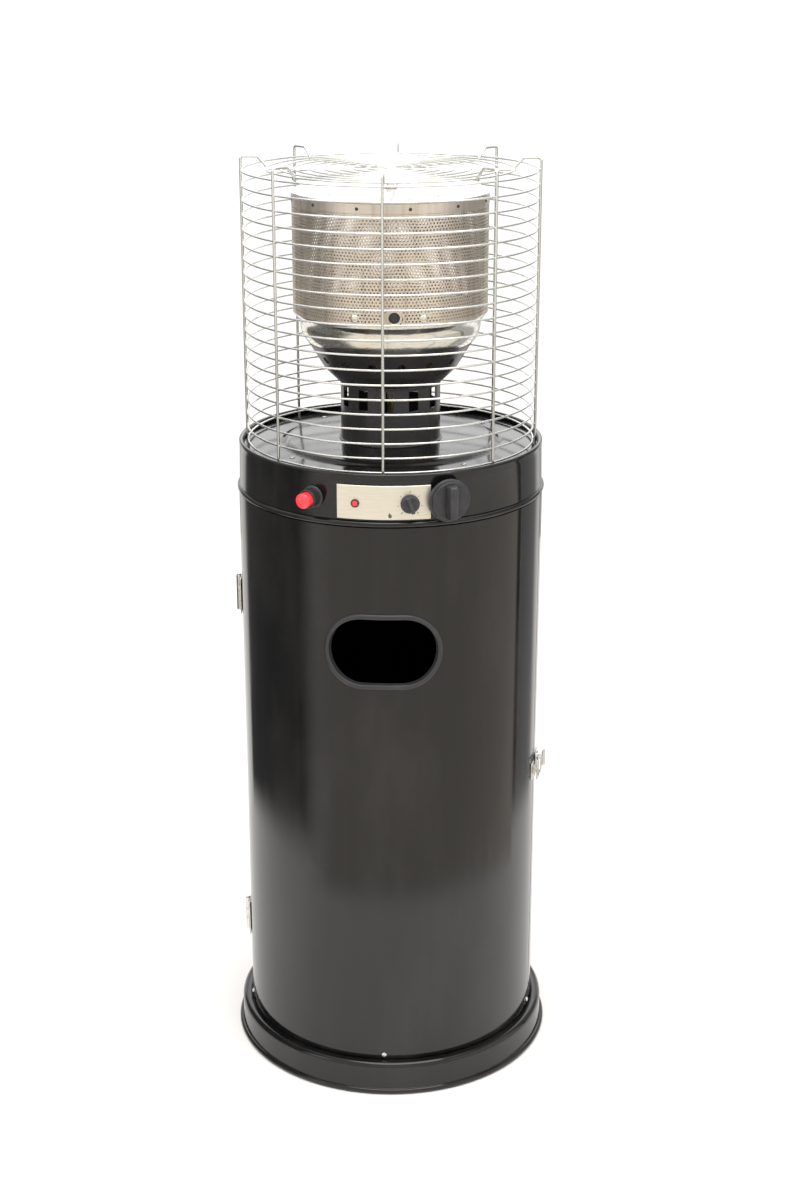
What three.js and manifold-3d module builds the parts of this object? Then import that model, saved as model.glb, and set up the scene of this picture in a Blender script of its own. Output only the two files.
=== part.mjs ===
// A cylindrical gas patio heater: a round steel cabinet for the gas bottle, a collar with the
// controls, and a perforated heat emitter inside a wire guard.
// Millimetres, +Z up, origin on the floor at the centre of the base. The front faces -Y.
// Azimuths are in degrees from the front (-Y) towards +X.

import * as THREE from 'three';
import { mergeVertices } from 'three/addons/utils/BufferGeometryUtils.js';
import Module from 'manifold-3d';

const wasm = await Module();
wasm.setup();

// ---------------------------------------------------------------- driving dimensions

const GAP = 0.3; // left between pieces that touch
const SHEET = 1.2; // pressed steel
const ROUND = 48; // sides of a large round piece
const MEDIUM = 36; // sides of the neck and the emitter

const BASE = { rim: 243, wall: 237, foot: 235, shoulder: 9, beadTop: 8, top: 49, sheet: 2 };
const CABINET = { radius: 221, bottom: BASE.top + GAP, top: 877.5 };
const DOOR = { hingeAzimuth: -88, latchAzimuth: 79, clearance: 2.5, seam: 0.3 };
const POST = { width: 24, depth: 4, outer: 215.5, setBack: 2.5 };
const HAND_HOLE = {
  width: 154, height: 96, z: 698, rim: 7.6, proud: 3.4, throat: 2, depth: 6, play: 0.5, halfAngle: 26,
};
const BASE_RING = { outer: 219, sheet: 1.5, from: -83, to: 77.6, height: 15 };
const BASE_SCREW = { azimuths: [0, -78, 76], z: 56, shank: 1.8, head: 4, headHeight: 2.4 };

const HINGE = { pivot: 226, knuckle: 4.2, pin: 1.9, play: 0.3, height: 54, leaf: 24, sheet: 1.5 };
const HINGE_Z = { upper: 711, lower: 175 };

const LATCH = {
  z: 450, azimuth: 84.5, plate: 1.5, halfWidth: 17, halfLength: 16,
  pivotX: 226, pivotY: -11, rod: 1.6, bailX: 228.2, bailY: -5, wire: 1.2,
  crossX: 226.8, crossY: -34,
};
const KEEPER = {
  azimuth: 75.8, footWidth: 13, footLength: 9, postFrom: 2.3, postTo: 3.7, postHalf: 8, top: 226.6,
};

const COLLAR = {
  bottom: 878.3, bead: 223.3, beadHeight: 8, wall: 220,
  rimWall: 218.8, rim: 3.5, rimCentre: 215.8, rimZ: 949,
};
const BEHIND_COLLAR = 217; // the front of what is screwed on behind the collar's wall
const TOP_PLATE = { radius: 214.8, z: 943.5, hole: 60, step: 153, rise: 6 };
const CONTROLS_Z = 915;
const PANEL = { from: -16.3, to: 17, bottom: 889.5, top: 937, inner: 220.3, sheet: 1.5 };
const LAMP = { azimuth: -9.7, z: 912, lens: 4, bezel: 5.8, back: 212 };
const SETTING = { azimuth: 9.6, knob: 13, stem: 3, z: 912, slant: 18 };
const IGNITER = {
  azimuth: -25.8, collar: 13, collarFront: 238, bore: 11, cap: 10.5, front: 250, body: 10, bodyBack: 178,
};
const GAS = {
  azimuth: 23.2, knob: 30, spindle: 4, back: 226.5, front: 249, cap: 3.5, push: 3,
  valveBack: 172, valveFront: 212,
};

const NECK = { radius: 71.6, sheet: 1.2, top: 1036.7, flange: 80, vents: 12 };
const VENT = { width: 15, bottom: 1002, top: 1031 };
const PAN = { hole: 48, foot: 77.5, bottom: 1037, waist: 92.5, waistZ: 1053, lip: 118, lipZ: 1093 };
const BOWL_SHEET = 1.2;
const EMITTER = { radius: 138, sheet: 1.2, bottom: 1137, top: 1286, bandTop: 1299.7 };
const SIGHT_HOLE = { azimuth: 5, z: 1148, radius: 9 };
const CAP = { radius: 139.5, bottom: 1300, dome: 5 };
const BURNER = { head: 34, bottom: 1052.3, top: 1085, pipe: 5, pipeZ: 905, pipeTop: 1028 };
const PILOT_RING = { radius: 41, pilot: 5, thermocouple: 22, electrode: -12, bottom: 1015 };

const GUARD = {
  panels: 8, rings: 20, pitch: 20, firstZ: 951, radius: 205.5, wire: 1.5, upright: 2, weld: 2.2,
  top: 1349.5, hookIn: 183,
};
const GRILLE = { z: 1331, outer: 172, pitch: 20, rings: 8, wire: 1.5, disc: 8 };

// ---------------------------------------------------------------- finishes

const finish = (color, roughness, metalness) =>
  new THREE.MeshStandardMaterial({ color, roughness, metalness });

const FINISHES = {
  enamel: finish(0x26262a, 0.18, 0.3),
  blackPlastic: finish(0x2f2f31, 0.45, 0),
  steel: finish(0xb9b4aa, 0.3, 1),
  mirror: finish(0xe4dcc4, 0.12, 1),
  chrome: finish(0xd8d8d8, 0.15, 1),
  panel: finish(0xe6e0cc, 0.25, 0.9),
  red: finish(0xe22a38, 0.3, 0),
  brass: finish(0xb5933f, 0.35, 1),
  castIron: finish(0x5a5856, 0.6, 0.8),
  ceramic: finish(0xf0ece2, 0.4, 0),
};

// ---------------------------------------------------------------- solids

const rad = THREE.MathUtils.degToRad;

// Shares the corners of a closed shape, drops slivers at its poles and turns its faces outwards.
function closed(source) {
  const bare = source.clone();
  for (const name of Object.keys(bare.attributes)) {
    if (name !== 'position') bare.deleteAttribute(name);
  }
  const merged = mergeVertices(bare, 1e-4);
  const corners = merged.getAttribute('position');
  const index = merged.getIndex().array;
  const point = (i) => new THREE.Vector3().fromBufferAttribute(corners, i);
  const kept = [];
  let volume = 0;
  for (let i = 0; i < index.length; i += 3) {
    const [a, b, c] = [index[i], index[i + 1], index[i + 2]];
    if (a === b || b === c || c === a) continue;
    kept.push(a, b, c);
    volume += point(a).dot(point(b).cross(point(c)));
  }
  merged.setIndex(volume < 0 ? kept.reverse() : kept);
  return merged;
}

function toSolid(geometry) {
  const shape = closed(geometry);
  return new wasm.Manifold(new wasm.Mesh({
    numProp: 3,
    vertProperties: new Float32Array(shape.getAttribute('position').array),
    triVerts: new Uint32Array(shape.getIndex().array),
  }));
}

function toGeometry(solid) {
  const mesh = solid.getMesh();
  const geometry = new THREE.BufferGeometry();
  geometry.setAttribute('position', new THREE.BufferAttribute(new Float32Array(mesh.vertProperties), 3));
  geometry.setIndex(new THREE.BufferAttribute(new Uint32Array(mesh.triVerts), 1));
  return geometry;
}

const join = (...pieces) => toGeometry(pieces.map(toSolid).reduce((whole, piece) => whole.add(piece)));
const cut = (body, ...tools) =>
  toGeometry(tools.map(toSolid).reduce((whole, tool) => whole.subtract(tool), toSolid(body)));
const common = (a, b) => toGeometry(toSolid(a).intersect(toSolid(b)));

// A solid of revolution about Z from [radius, z] pairs.
function turned(profile, sides = ROUND) {
  const points = profile.map(([r, z]) => new THREE.Vector2(r, z));
  return new THREE.LatheGeometry(points, sides).rotateX(Math.PI / 2);
}

// The same, for a ring whose section closes on itself.
const turnedRing = (section, sides = ROUND) => turned([...section, section[0]], sides);

// A round bar along X from x0 to x1, centred on (y, z).
function barX(radius, x0, x1, y = 0, z = 0, sides = 16) {
  return new THREE.CylinderGeometry(radius, radius, x1 - x0, sides)
    .rotateZ(Math.PI / 2).translate((x0 + x1) / 2, y, z);
}

// A round bar along Z from z0 to z1, centred on (x, y).
function barZ(radius, z0, z1, x = 0, y = 0, sides = 16) {
  return new THREE.CylinderGeometry(radius, radius, z1 - z0, sides)
    .rotateX(Math.PI / 2).translate(x, y, (z0 + z1) / 2);
}

function block([x0, x1], [y0, y1], [z0, z1]) {
  return new THREE.BoxGeometry(x1 - x0, y1 - y0, z1 - z0)
    .translate((x0 + x1) / 2, (y0 + y1) / 2, (z0 + z1) / 2);
}

// A curved wall between two azimuths, of sheet from inner to outer radius.
function arcWall(inner, outer, fromAzimuth, toAzimuth, z0, z1, steps) {
  const [a, b] = [rad(fromAzimuth - 90), rad(toAzimuth - 90)];
  const plan = new THREE.Shape();
  plan.absarc(0, 0, outer, a, b, false);
  plan.absarc(0, 0, inner, b, a, true);
  plan.closePath();
  return new THREE.ExtrudeGeometry(plan, { depth: z1 - z0, bevelEnabled: false, curveSegments: steps })
    .translate(0, 0, z0);
}

// An obround prism across the front, standing in the XZ plane.
function obroundY(width, height, z, y0, y1) {
  const r = height / 2;
  const half = width / 2 - r;
  const outline = new THREE.Shape();
  outline.absarc(half, 0, r, -Math.PI / 2, Math.PI / 2, false);
  outline.absarc(-half, 0, r, Math.PI / 2, 1.5 * Math.PI, false);
  outline.closePath();
  return new THREE.ExtrudeGeometry(outline, { depth: y1 - y0, bevelEnabled: false, curveSegments: 8 })
    .rotateX(Math.PI / 2).translate(0, y1, z);
}

// A wire's centre line through given points, with a section at each of them.
class WirePath extends THREE.Curve {
  constructor(points) {
    super();
    this.points = points;
  }

  getPoint(t, target = new THREE.Vector3()) {
    const at = t * (this.points.length - 1);
    const i = Math.min(Math.floor(at), this.points.length - 2);
    return target.lerpVectors(this.points[i], this.points[i + 1], at - i);
  }

  getPointAt(t, target) {
    return this.getPoint(t, target);
  }

  getTangentAt(t, target = new THREE.Vector3()) {
    const last = this.points.length - 1;
    const i = Math.round(t * last);
    const before = this.points[Math.max(i - 1, 0)];
    const after = this.points[Math.min(i + 1, last)];
    return target.subVectors(after, before).normalize();
  }
}

function wire(points, radius, sides) {
  const section = new THREE.Shape();
  for (let i = 0; i < sides; i += 1) {
    const angle = (2 * Math.PI * (i + 0.5)) / sides;
    section[i ? 'lineTo' : 'moveTo'](radius * Math.cos(angle), radius * Math.sin(angle));
  }
  section.closePath();
  return new THREE.ExtrudeGeometry(section, {
    steps: points.length - 1, bevelEnabled: false, extrudePath: new WirePath(points),
  });
}

const polar = (azimuth, radius, z) =>
  new THREE.Vector3(radius * Math.sin(rad(azimuth)), -radius * Math.cos(rad(azimuth)), z);

// ---------------------------------------------------------------- the assembly

const heater = new THREE.Group();

function add(name, geometry, material, parent = heater) {
  const mesh = new THREE.Mesh(closed(geometry), material);
  mesh.name = name;
  mesh.geometry.computeVertexNormals();
  parent.add(mesh);
}

// A frame at an azimuth: +X points outwards there and +Y runs round towards larger azimuths.
function outwardFrame(azimuth, z = 0) {
  const group = new THREE.Group();
  group.rotation.z = rad(azimuth - 90);
  group.position.z = z;
  heater.add(group);
  return group;
}

// Moves a shape made in an outward frame to the heater's own axes, to cut holes for it.
const inFrame = (geometry, azimuth, z = 0) => geometry.rotateZ(rad(azimuth - 90)).translate(0, 0, z);

// A tool that drills a small round hole through the cabinet's or the collar's wall.
const roundHole = (radius, azimuth, z) => inFrame(barX(radius, 205, 235, 0, 0, 10), azimuth, z);

// ---------------------------------------------------------------- base and cabinet

function buildBase() {
  const { rim, wall, foot, shoulder, beadTop, top, sheet } = BASE;
  const bend = [];
  const innerBend = [];
  for (const degrees of [0, 45, 90]) {
    const c = Math.cos(rad(degrees));
    const s = Math.sin(rad(degrees));
    bend.push([wall - shoulder + shoulder * c, top - shoulder + shoulder * s]);
    innerBend.unshift([wall - shoulder + (shoulder - sheet) * c, top - shoulder + (shoulder - sheet) * s]);
  }
  add('base_plate', turned([
    [0, top - sheet], ...innerBend, [foot, 0], [rim - 2, 0], [rim, 2],
    [rim, beadTop - 2], [wall, beadTop], ...bend, [0, top],
  ]), FINISHES.enamel);
}

function buildCabinet() {
  const { radius, bottom, top } = CABINET;
  const screwHoles = () =>
    BASE_SCREW.azimuths.map((azimuth) => roundHole(BASE_SCREW.shank + 0.5, azimuth, BASE_SCREW.z));

  const from = DOOR.hingeAzimuth + DOOR.seam;
  const to = DOOR.latchAzimuth - DOOR.seam;
  const holeEdge = 2 * (HAND_HOLE.throat + HAND_HOLE.play);
  add('front_shell', cut(
    arcWall(radius - SHEET, radius, from, to, bottom, top, 24),
    obroundY(HAND_HOLE.width + holeEdge, HAND_HOLE.height + holeEdge, HAND_HOLE.z, -240, -190),
    ...screwHoles(),
  ), FINISHES.enamel);

  add('rear_door', arcWall(
    radius - SHEET, radius, DOOR.latchAzimuth + DOOR.seam, DOOR.hingeAzimuth + 360 - DOOR.seam,
    bottom + DOOR.clearance, top - DOOR.clearance, 27,
  ), FINISHES.enamel);

  const ring = arcWall(
    BASE_RING.outer - BASE_RING.sheet, BASE_RING.outer, BASE_RING.from, BASE_RING.to,
    bottom, bottom + BASE_RING.height, 16,
  );
  add('base_ring', cut(ring, ...screwHoles()), FINISHES.enamel);

  const posts = {
    left_post: DOOR.hingeAzimuth - POST.setBack,
    right_post: DOOR.latchAzimuth + POST.setBack,
  };
  for (const [name, azimuth] of Object.entries(posts)) {
    const half = POST.width / 2;
    const { outer, depth } = POST;
    add(name, join(
      block([outer - SHEET, outer], [-half, half], [bottom, top]),
      block([outer - SHEET - depth, outer - 0.5], [-half, -half + SHEET], [bottom, top]),
      block([outer - SHEET - depth, outer - 0.5], [half - SHEET, half], [bottom, top]),
    ), FINISHES.enamel, outwardFrame(azimuth));
  }

  BASE_SCREW.azimuths.forEach((azimuth, i) => {
    const face = radius + GAP;
    add(`base_screw_${i + 1}`, join(
      barX(BASE_SCREW.shank, face - 5, face + 1, 0, 0, 10),
      barX(BASE_SCREW.head, face, face + BASE_SCREW.headHeight, 0, 0, 12),
    ), FINISHES.chrome, outwardFrame(azimuth, BASE_SCREW.z));
  });
}

function buildHandHoleBezel() {
  const { width, height, z, rim, proud, throat, depth, halfAngle } = HAND_HOLE;
  const face = CABINET.radius + GAP;
  const ring = (inner, outer, edge) => common(
    arcWall(inner, outer, -halfAngle, halfAngle, z - height, z + height, 8),
    obroundY(width + 2 * edge, height + 2 * edge, z, -240, -190),
  );
  const moulding = join(ring(face, face + proud, rim), ring(face - depth, face + 1, throat));
  add('hand_hole_bezel', cut(moulding, obroundY(width, height, z, -245, -185)), FINISHES.blackPlastic);
}

// ---------------------------------------------------------------- hinges and latch

// One leaf with its knuckles: side is +1 for the fixed leaf and -1 for the door's.
function hingeLeaf(side, knuckles) {
  const { pivot, knuckle, pin, play, height, leaf, sheet } = HINGE;
  const face = CABINET.radius + GAP;
  const along = (from, to) => (side > 0 ? [from, to] : [-to, -from]);
  const pieces = [block([face, face + sheet], along(knuckle + 1, leaf), [-height / 2, height / 2])];
  for (const [z0, z1] of knuckles) {
    pieces.push(block([face, face + sheet], along(0, knuckle + 2), [z0, z1]));
    pieces.push(barZ(knuckle, z0, z1, pivot));
  }
  return cut(join(...pieces), barZ(pin + play, -height, height, pivot, 0, 12));
}

function buildHinges() {
  const { height, pin, pivot } = HINGE;
  const third = height / 6;
  for (const [place, z] of Object.entries(HINGE_Z)) {
    const frame = outwardFrame(DOOR.hingeAzimuth, z);
    add(`${place}_hinge_leaf`, hingeLeaf(1, [[-height / 2, -third - 0.2], [third + 0.2, height / 2]]),
      FINISHES.chrome, frame);
    add(`${place}_hinge_door_leaf`, hingeLeaf(-1, [[-third + 0.2, third - 0.2]]), FINISHES.chrome, frame);
    add(`${place}_hinge_pin`, join(
      barZ(pin, -height / 2 - 1, height / 2 + 1, pivot, 0, 12),
      barZ(pin + 1.2, height / 2 + GAP, height / 2 + 2, pivot, 0, 12),
    ), FINISHES.steel, frame);
  }
}

function buildLatch() {
  const { pivotX, pivotY, plate, halfWidth, halfLength, rod, bailX, bailY, wire: wireRadius } = LATCH;
  const face = CABINET.radius + GAP;
  const frame = outwardFrame(LATCH.azimuth, LATCH.z);

  const ears = [-1, 1].flatMap((side) => {
    const across = side > 0 ? [9.5, 11] : [-11, -9.5];
    return [
      block([face + 0.5, pivotX], [pivotY - 2.4, pivotY + 2.4], across),
      barZ(2.9, across[0], across[1], pivotX, pivotY),
    ];
  });
  add('latch_base', cut(
    join(block([face, face + plate], [-halfLength, halfLength], [-halfWidth, halfWidth]), ...ears),
    barZ(rod + GAP, -20, 20, pivotX, pivotY, 12),
  ), FINISHES.chrome, frame);

  const cheeks = [[-13, -11.5], [11.5, 13]].flatMap((across) => [
    block([pivotX - 2, pivotX + 5], [pivotY - 1, pivotY + 10], across),
    barZ(2.6, across[0], across[1], pivotX, pivotY),
  ]);
  add('latch_lever', cut(
    join(
      block([pivotX + 3.6, pivotX + 5], [pivotY - 1, pivotY + 31], [-13, 13]),
      block([pivotX + 3.6, pivotX + 9], [pivotY + 29.6, pivotY + 31], [-13, 13]),
      barZ(rod, -12.5, 12.5, pivotX, pivotY, 12),
      ...cheeks,
    ),
    barZ(wireRadius + GAP, -20, 20, bailX, bailY, 12),
  ), FINISHES.chrome, frame);

  const arm = 14.8;
  const corner = 2.5;
  const lean = ((LATCH.crossX - bailX) * corner) / (bailY - LATCH.crossY);
  const side = (sign) => [
    [bailX, bailY, sign * 10.8],
    [bailX, bailY, sign * (arm - 0.8)],
    [bailX + lean, bailY - corner, sign * arm],
    [LATCH.crossX - lean, LATCH.crossY + corner, sign * arm],
    [LATCH.crossX, LATCH.crossY, sign * (arm - corner)],
  ];
  const route = [...side(-1), ...side(1).reverse()].map((p) => new THREE.Vector3(...p));
  add('latch_bail', wire(route, wireRadius, 8), FINISHES.chrome, frame);

  const { footLength, footWidth, postFrom, postTo, postHalf } = KEEPER;
  add('latch_keeper', join(
    block([face, face + plate], [-footLength, footLength], [-footWidth, footWidth]),
    block([face + 0.5, KEEPER.top], [postFrom, postTo], [-postHalf, postHalf]),
  ), FINISHES.chrome, outwardFrame(KEEPER.azimuth, LATCH.z));
}

// ---------------------------------------------------------------- collar and controls

function buildCollar() {
  const { bottom, bead, beadHeight, wall, rimWall, rim, rimCentre, rimZ } = COLLAR;
  const band = turnedRing([
    [wall - SHEET, bottom], [bead, bottom], [bead, bottom + beadHeight], [wall, bottom + beadHeight + 1],
    [rimWall, rimZ - 2 * rim], [rimCentre + rim, rimZ], [rimCentre, rimZ + rim], [rimCentre - rim, rimZ],
    [rimCentre, rimZ - rim + 0.1], [rimWall - SHEET, rimZ - 2 * rim],
  ]);
  const holes = [
    roundHole(LAMP.lens + GAP, LAMP.azimuth, LAMP.z),
    roundHole(SETTING.stem + 1, SETTING.azimuth, SETTING.z),
    roundHole(GAS.spindle + 1.5, GAS.azimuth, CONTROLS_Z),
    roundHole(7, IGNITER.azimuth, CONTROLS_Z),
  ];
  add('collar_band', cut(band, ...holes), FINISHES.enamel);

  const { radius, z, hole, step, rise } = TOP_PLATE;
  add('top_plate', turnedRing([
    [hole, z + rise], [step - 3, z + rise], [step, z], [radius, z], [radius, z + SHEET],
    [step + 1, z + SHEET], [step - 2, z + rise + SHEET], [hole, z + rise + SHEET],
  ]), FINISHES.enamel);

  const panelWall = arcWall(
    PANEL.inner, PANEL.inner + PANEL.sheet, PANEL.from, PANEL.to, PANEL.bottom, PANEL.top, 8,
  );
  add('control_panel', cut(panelWall, holes[0], holes[1]), FINISHES.panel);
}

function buildLamp() {
  const frame = outwardFrame(LAMP.azimuth, LAMP.z);
  const face = PANEL.inner + PANEL.sheet + GAP;
  add('lamp_bezel', cut(barX(LAMP.bezel, face, face + 2), barX(LAMP.lens + GAP, face - 5, face + 9)),
    FINISHES.blackPlastic, frame);
  add('lamp_lens', join(
    barX(LAMP.lens, LAMP.back, face + 2.5), barX(LAMP.lens - 1.2, LAMP.back, face + 3.6),
  ), FINISHES.red, frame);
}

function buildSettingKnob() {
  const frame = outwardFrame(SETTING.azimuth, SETTING.z);
  const back = PANEL.inner + PANEL.sheet + 1.2;
  const grip = block([back + 6, back + 13], [-2.6, 2.6], [-SETTING.knob + 1, SETTING.knob - 1]);
  add('setting_knob', join(
    barX(SETTING.knob, back, back + 7),
    barX(SETTING.stem, BEHIND_COLLAR + GAP, back + 1),
    grip.rotateX(rad(SETTING.slant)),
  ), FINISHES.blackPlastic, frame);
  const nose = BEHIND_COLLAR - 5;
  add('setting_switch', join(
    block([nose - 18, nose], [-11, 11], [-12, 12]), barX(6, nose - 1, BEHIND_COLLAR),
  ), FINISHES.blackPlastic, frame);
}

function buildIgniter() {
  const frame = outwardFrame(IGNITER.azimuth, CONTROLS_Z);
  const face = COLLAR.wall + GAP;
  const { collar, collarFront, bore, cap, front, body, bodyBack } = IGNITER;
  add('igniter_collar', cut(
    barX(collar, face, collarFront, 0, 0, 20), barX(bore, face - 5, front, 0, 0, 20),
  ), FINISHES.blackPlastic, frame);
  add('igniter_button', join(
    barX(cap - 1, front - 4, front), barX(cap, front - 19, front - 1.5), barX(5, front - 24, front - 18),
  ), FINISHES.red, frame);
  add('igniter_body', join(
    barX(body, bodyBack, BEHIND_COLLAR - 0.5), barX(4, BEHIND_COLLAR - 1, face),
  ), FINISHES.blackPlastic, frame);
}

function buildGasControl() {
  const frame = outwardFrame(GAS.azimuth, CONTROLS_Z);
  const { knob, spindle, back, front, cap, push, valveBack, valveFront } = GAS;
  const disc = join(
    barX(knob, back, back + 4.5, 0, 0, 24),
    barX(knob - 3, back + 4, back + 9, 0, 0, 24),
    block([back + 8, front], [-8, 8], [-knob + 5, knob - 5]),
  );
  add('gas_knob', cut(disc, barX(spindle + GAP, back - 5, front - cap)), FINISHES.blackPlastic, frame);
  add('gas_spindle', barX(spindle, BEHIND_COLLAR + GAP, front - cap - push - 1), FINISHES.steel, frame);
  const halfHeight = 18;
  add('gas_valve', join(
    block([valveBack, valveFront], [-22, 22], [-halfHeight, halfHeight]),
    barX(8, valveFront - 1, BEHIND_COLLAR),
  ), FINISHES.brass, frame);
  const hose = valveBack + 14;
  add('hose_spigot', join(
    barZ(5, -45, -halfHeight - GAP, hose, 8), barZ(7, -30, -22, hose, 8, 6),
  ), FINISHES.brass, frame);
}

// ---------------------------------------------------------------- gas train

// A tube that runs level from a start point to a riser, bends up and climbs to topZ.
function riserTube(start, riser, topZ, radius, bend) {
  const level = new THREE.Vector3().subVectors(riser, start).setZ(0);
  const direction = level.clone().normalize();
  const corner = new THREE.Vector3(riser.x, riser.y, start.z);
  const points = [start, corner.clone().addScaledVector(direction, -bend)];
  for (const degrees of [30, 60, 90]) {
    const along = bend * Math.sin(rad(degrees)) - bend;
    const up = bend - bend * Math.cos(rad(degrees));
    points.push(corner.clone().addScaledVector(direction, along).setZ(start.z + up));
  }
  points.push(new THREE.Vector3(riser.x, riser.y, topZ));
  return wire(points, radius, 8);
}

function buildGasTrain() {
  const valveFrame = new THREE.Matrix4().makeRotationZ(rad(GAS.azimuth - 90));
  const behindValve = (y, z) => new THREE.Vector3(GAS.valveBack - GAP, y, z).applyMatrix4(valveFrame);
  const { pipe, pipeZ, pipeTop, head, bottom, top } = BURNER;
  const { radius, pilot, thermocouple, electrode } = PILOT_RING;
  const foot = PILOT_RING.bottom;

  add('gas_pipe', riserTube(behindValve(0, pipeZ), new THREE.Vector3(), pipeTop, pipe, 18), FINISHES.brass);
  add('injector', join(
    barZ(8, pipeTop + GAP, bottom - GAP), barZ(11, pipeTop + 4, pipeTop + 12, 0, 0, 6),
  ), FINISHES.brass);
  add('burner_head', turned([
    [0, bottom], [14, bottom], [head, bottom + 12], [head, top - 9], [head - 6, top - 2], [0, top],
  ], 32), FINISHES.castIron);

  const behindIgniter = polar(IGNITER.azimuth, IGNITER.bodyBack - GAP, CONTROLS_Z);
  const risers = [
    ['pilot_tube', behindValve(-8, 924), pilot, 1.8, FINISHES.brass],
    ['thermocouple_lead', behindValve(8, 924), thermocouple, 1.5, FINISHES.brass],
    ['ignition_lead', behindIgniter, electrode, 2, FINISHES.blackPlastic],
  ];
  for (const [name, start, azimuth, size, material] of risers) {
    add(name, riserTube(start, polar(azimuth, radius, 0), foot - GAP, size, 12), material);
  }

  const upright = (azimuth, parts) =>
    join(...parts.map(([size, z0, z1]) => {
      const place = polar(azimuth, radius, 0);
      return barZ(size, z0, z1, place.x, place.y, 12);
    }));
  add('pilot_burner', upright(pilot, [[4, foot, 1092], [5, 1086, 1098]]), FINISHES.steel);
  add('thermocouple', upright(thermocouple, [[2.5, foot, 1104], [4, foot, 1024]]), FINISHES.steel);
  add('electrode', upright(electrode, [[3.5, foot, 1086], [1.2, foot, 1100]]), FINISHES.ceramic);
  add('tilt_switch', block([-15, 15], [100, 125], [922, TOP_PLATE.z + TOP_PLATE.rise - GAP]),
    FINISHES.blackPlastic);
}

// ---------------------------------------------------------------- neck and emitter

function buildNeck() {
  const { radius, sheet, top, flange, vents } = NECK;
  const foot = TOP_PLATE.z + TOP_PLATE.rise + SHEET + GAP;
  const tube = turnedRing([
    [radius - sheet, foot], [flange, foot], [flange, foot + sheet], [radius, foot + sheet],
    [radius, top], [radius - sheet, top],
  ], MEDIUM);
  const slots = Array.from({ length: vents }, (_, i) => inFrame(
    block([radius - 10, radius + 10], [-VENT.width / 2, VENT.width / 2], [VENT.bottom, VENT.top]),
    (i * 360) / vents,
  ));
  add('neck_tube', cut(tube, ...slots), FINISHES.enamel);
}

function buildEmitter() {
  const { hole, foot, bottom, waist, waistZ, lip, lipZ } = PAN;
  const t = BOWL_SHEET;
  add('burner_pan', turnedRing([
    [hole, bottom], [foot, bottom], [waist, waistZ], [lip, lipZ], [lip - t, lipZ + 0.5],
    [waist - t, waistZ + 0.7], [foot - 0.5, bottom + t], [hole, bottom + t],
  ], MEDIUM), FINISHES.enamel);

  const { radius, sheet, top, bandTop } = EMITTER;
  const rimZ = EMITTER.bottom - GAP;
  add('reflector_bowl', turnedRing([
    [lip + 0.3, lipZ + 0.8], [127, 1109], [128, 1119], [radius, 1135], [radius, rimZ],
    [radius - t, rimZ], [128 - t, 1119.6], [127 - t, 1109.6], [lip + 0.3 - t, lipZ + 1.3],
  ], MEDIUM), FINISHES.mirror);

  const sight = inFrame(barX(SIGHT_HOLE.radius, 120, 150, 0, 0, 20), SIGHT_HOLE.azimuth, SIGHT_HOLE.z);
  const tube = (z0, z1, outer) =>
    turnedRing([[outer, z0], [outer, z1], [radius - sheet, z1], [radius - sheet, z0]], MEDIUM);
  add('emitter_screen', cut(tube(EMITTER.bottom, top, radius), sight), FINISHES.steel);
  add('emitter_band', tube(top + GAP, bandTop, radius + 0.5), FINISHES.steel);

  const crown = CAP.bottom + CAP.dome;
  add('emitter_cap', turned([
    [0, CAP.bottom], [CAP.radius - 1, CAP.bottom], [CAP.radius, CAP.bottom + 1],
    [CAP.radius - 1.5, CAP.bottom + 2.5],
    [CAP.radius / 2, crown - 0.8], [0, crown],
  ], MEDIUM), FINISHES.mirror);
  add('cap_bolt', join(barZ(9, crown + GAP, crown + 2), barZ(6, crown + 1.5, crown + 6, 0, 0, 6)),
    FINISHES.chrome);
}

// ---------------------------------------------------------------- guard

function buildGuard() {
  const { panels, rings, pitch, firstZ, radius, top, hookIn } = GUARD;
  const half = 180 / panels - 0.08;
  const uprightRadius = radius + GUARD.wire + GUARD.upright - GUARD.weld;
  const foot = TOP_PLATE.z + SHEET + GAP;
  const grilleEdge = GRILLE.outer + 2.4;

  for (let panel = 0; panel < panels; panel += 1) {
    const arcs = Array.from({ length: rings }, (_, ring) => {
      const azimuths = [-half, 0, half];
      const points = azimuths.map((azimuth) => polar(azimuth, radius, firstZ + ring * pitch));
      return wire(points, GUARD.wire, 3);
    });
    const rail = [
      [uprightRadius, foot], [uprightRadius, top - 6],
      [uprightRadius - 2.5, top - 2.6], [uprightRadius - 6, top - 2],
      [hookIn + 3, top - 2], [hookIn, top - 3.4], [grilleEdge, GRILLE.z + 3.4],
    ].map(([r, z]) => polar(0, r, z));
    const group = new THREE.Group();
    group.rotation.z = rad((panel * 360) / panels);
    heater.add(group);
    add(`guard_panel_${panel + 1}`, join(wire(rail, GUARD.upright, 4), ...arcs), FINISHES.chrome, group);
  }

  const { z, outer, disc } = GRILLE;
  const hoops = Array.from({ length: GRILLE.rings }, (_, i) => {
    const r = outer - i * GRILLE.pitch;
    const w = GRILLE.wire;
    return turnedRing([[r + w, z - 0.8], [r, z + w], [r - w, z - 0.8]], r > 60 ? 16 : 8);
  });
  const spokes = Array.from({ length: panels / 2 }, (_, i) =>
    barX(GRILLE.wire, -outer, outer, 0, z, 4).rotateZ(rad((i * 360) / panels)));
  add('guard_top', join(barZ(disc, z - 1.2, z + 1.8), ...spokes, ...hoops), FINISHES.chrome);
}

buildBase();
buildCabinet();
buildHandHoleBezel();
buildHinges();
buildLatch();
buildCollar();
buildLamp();
buildSettingKnob();
buildIgniter();
buildGasControl();
buildGasTrain();
buildNeck();
buildEmitter();
buildGuard();

export default heater;
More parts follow.
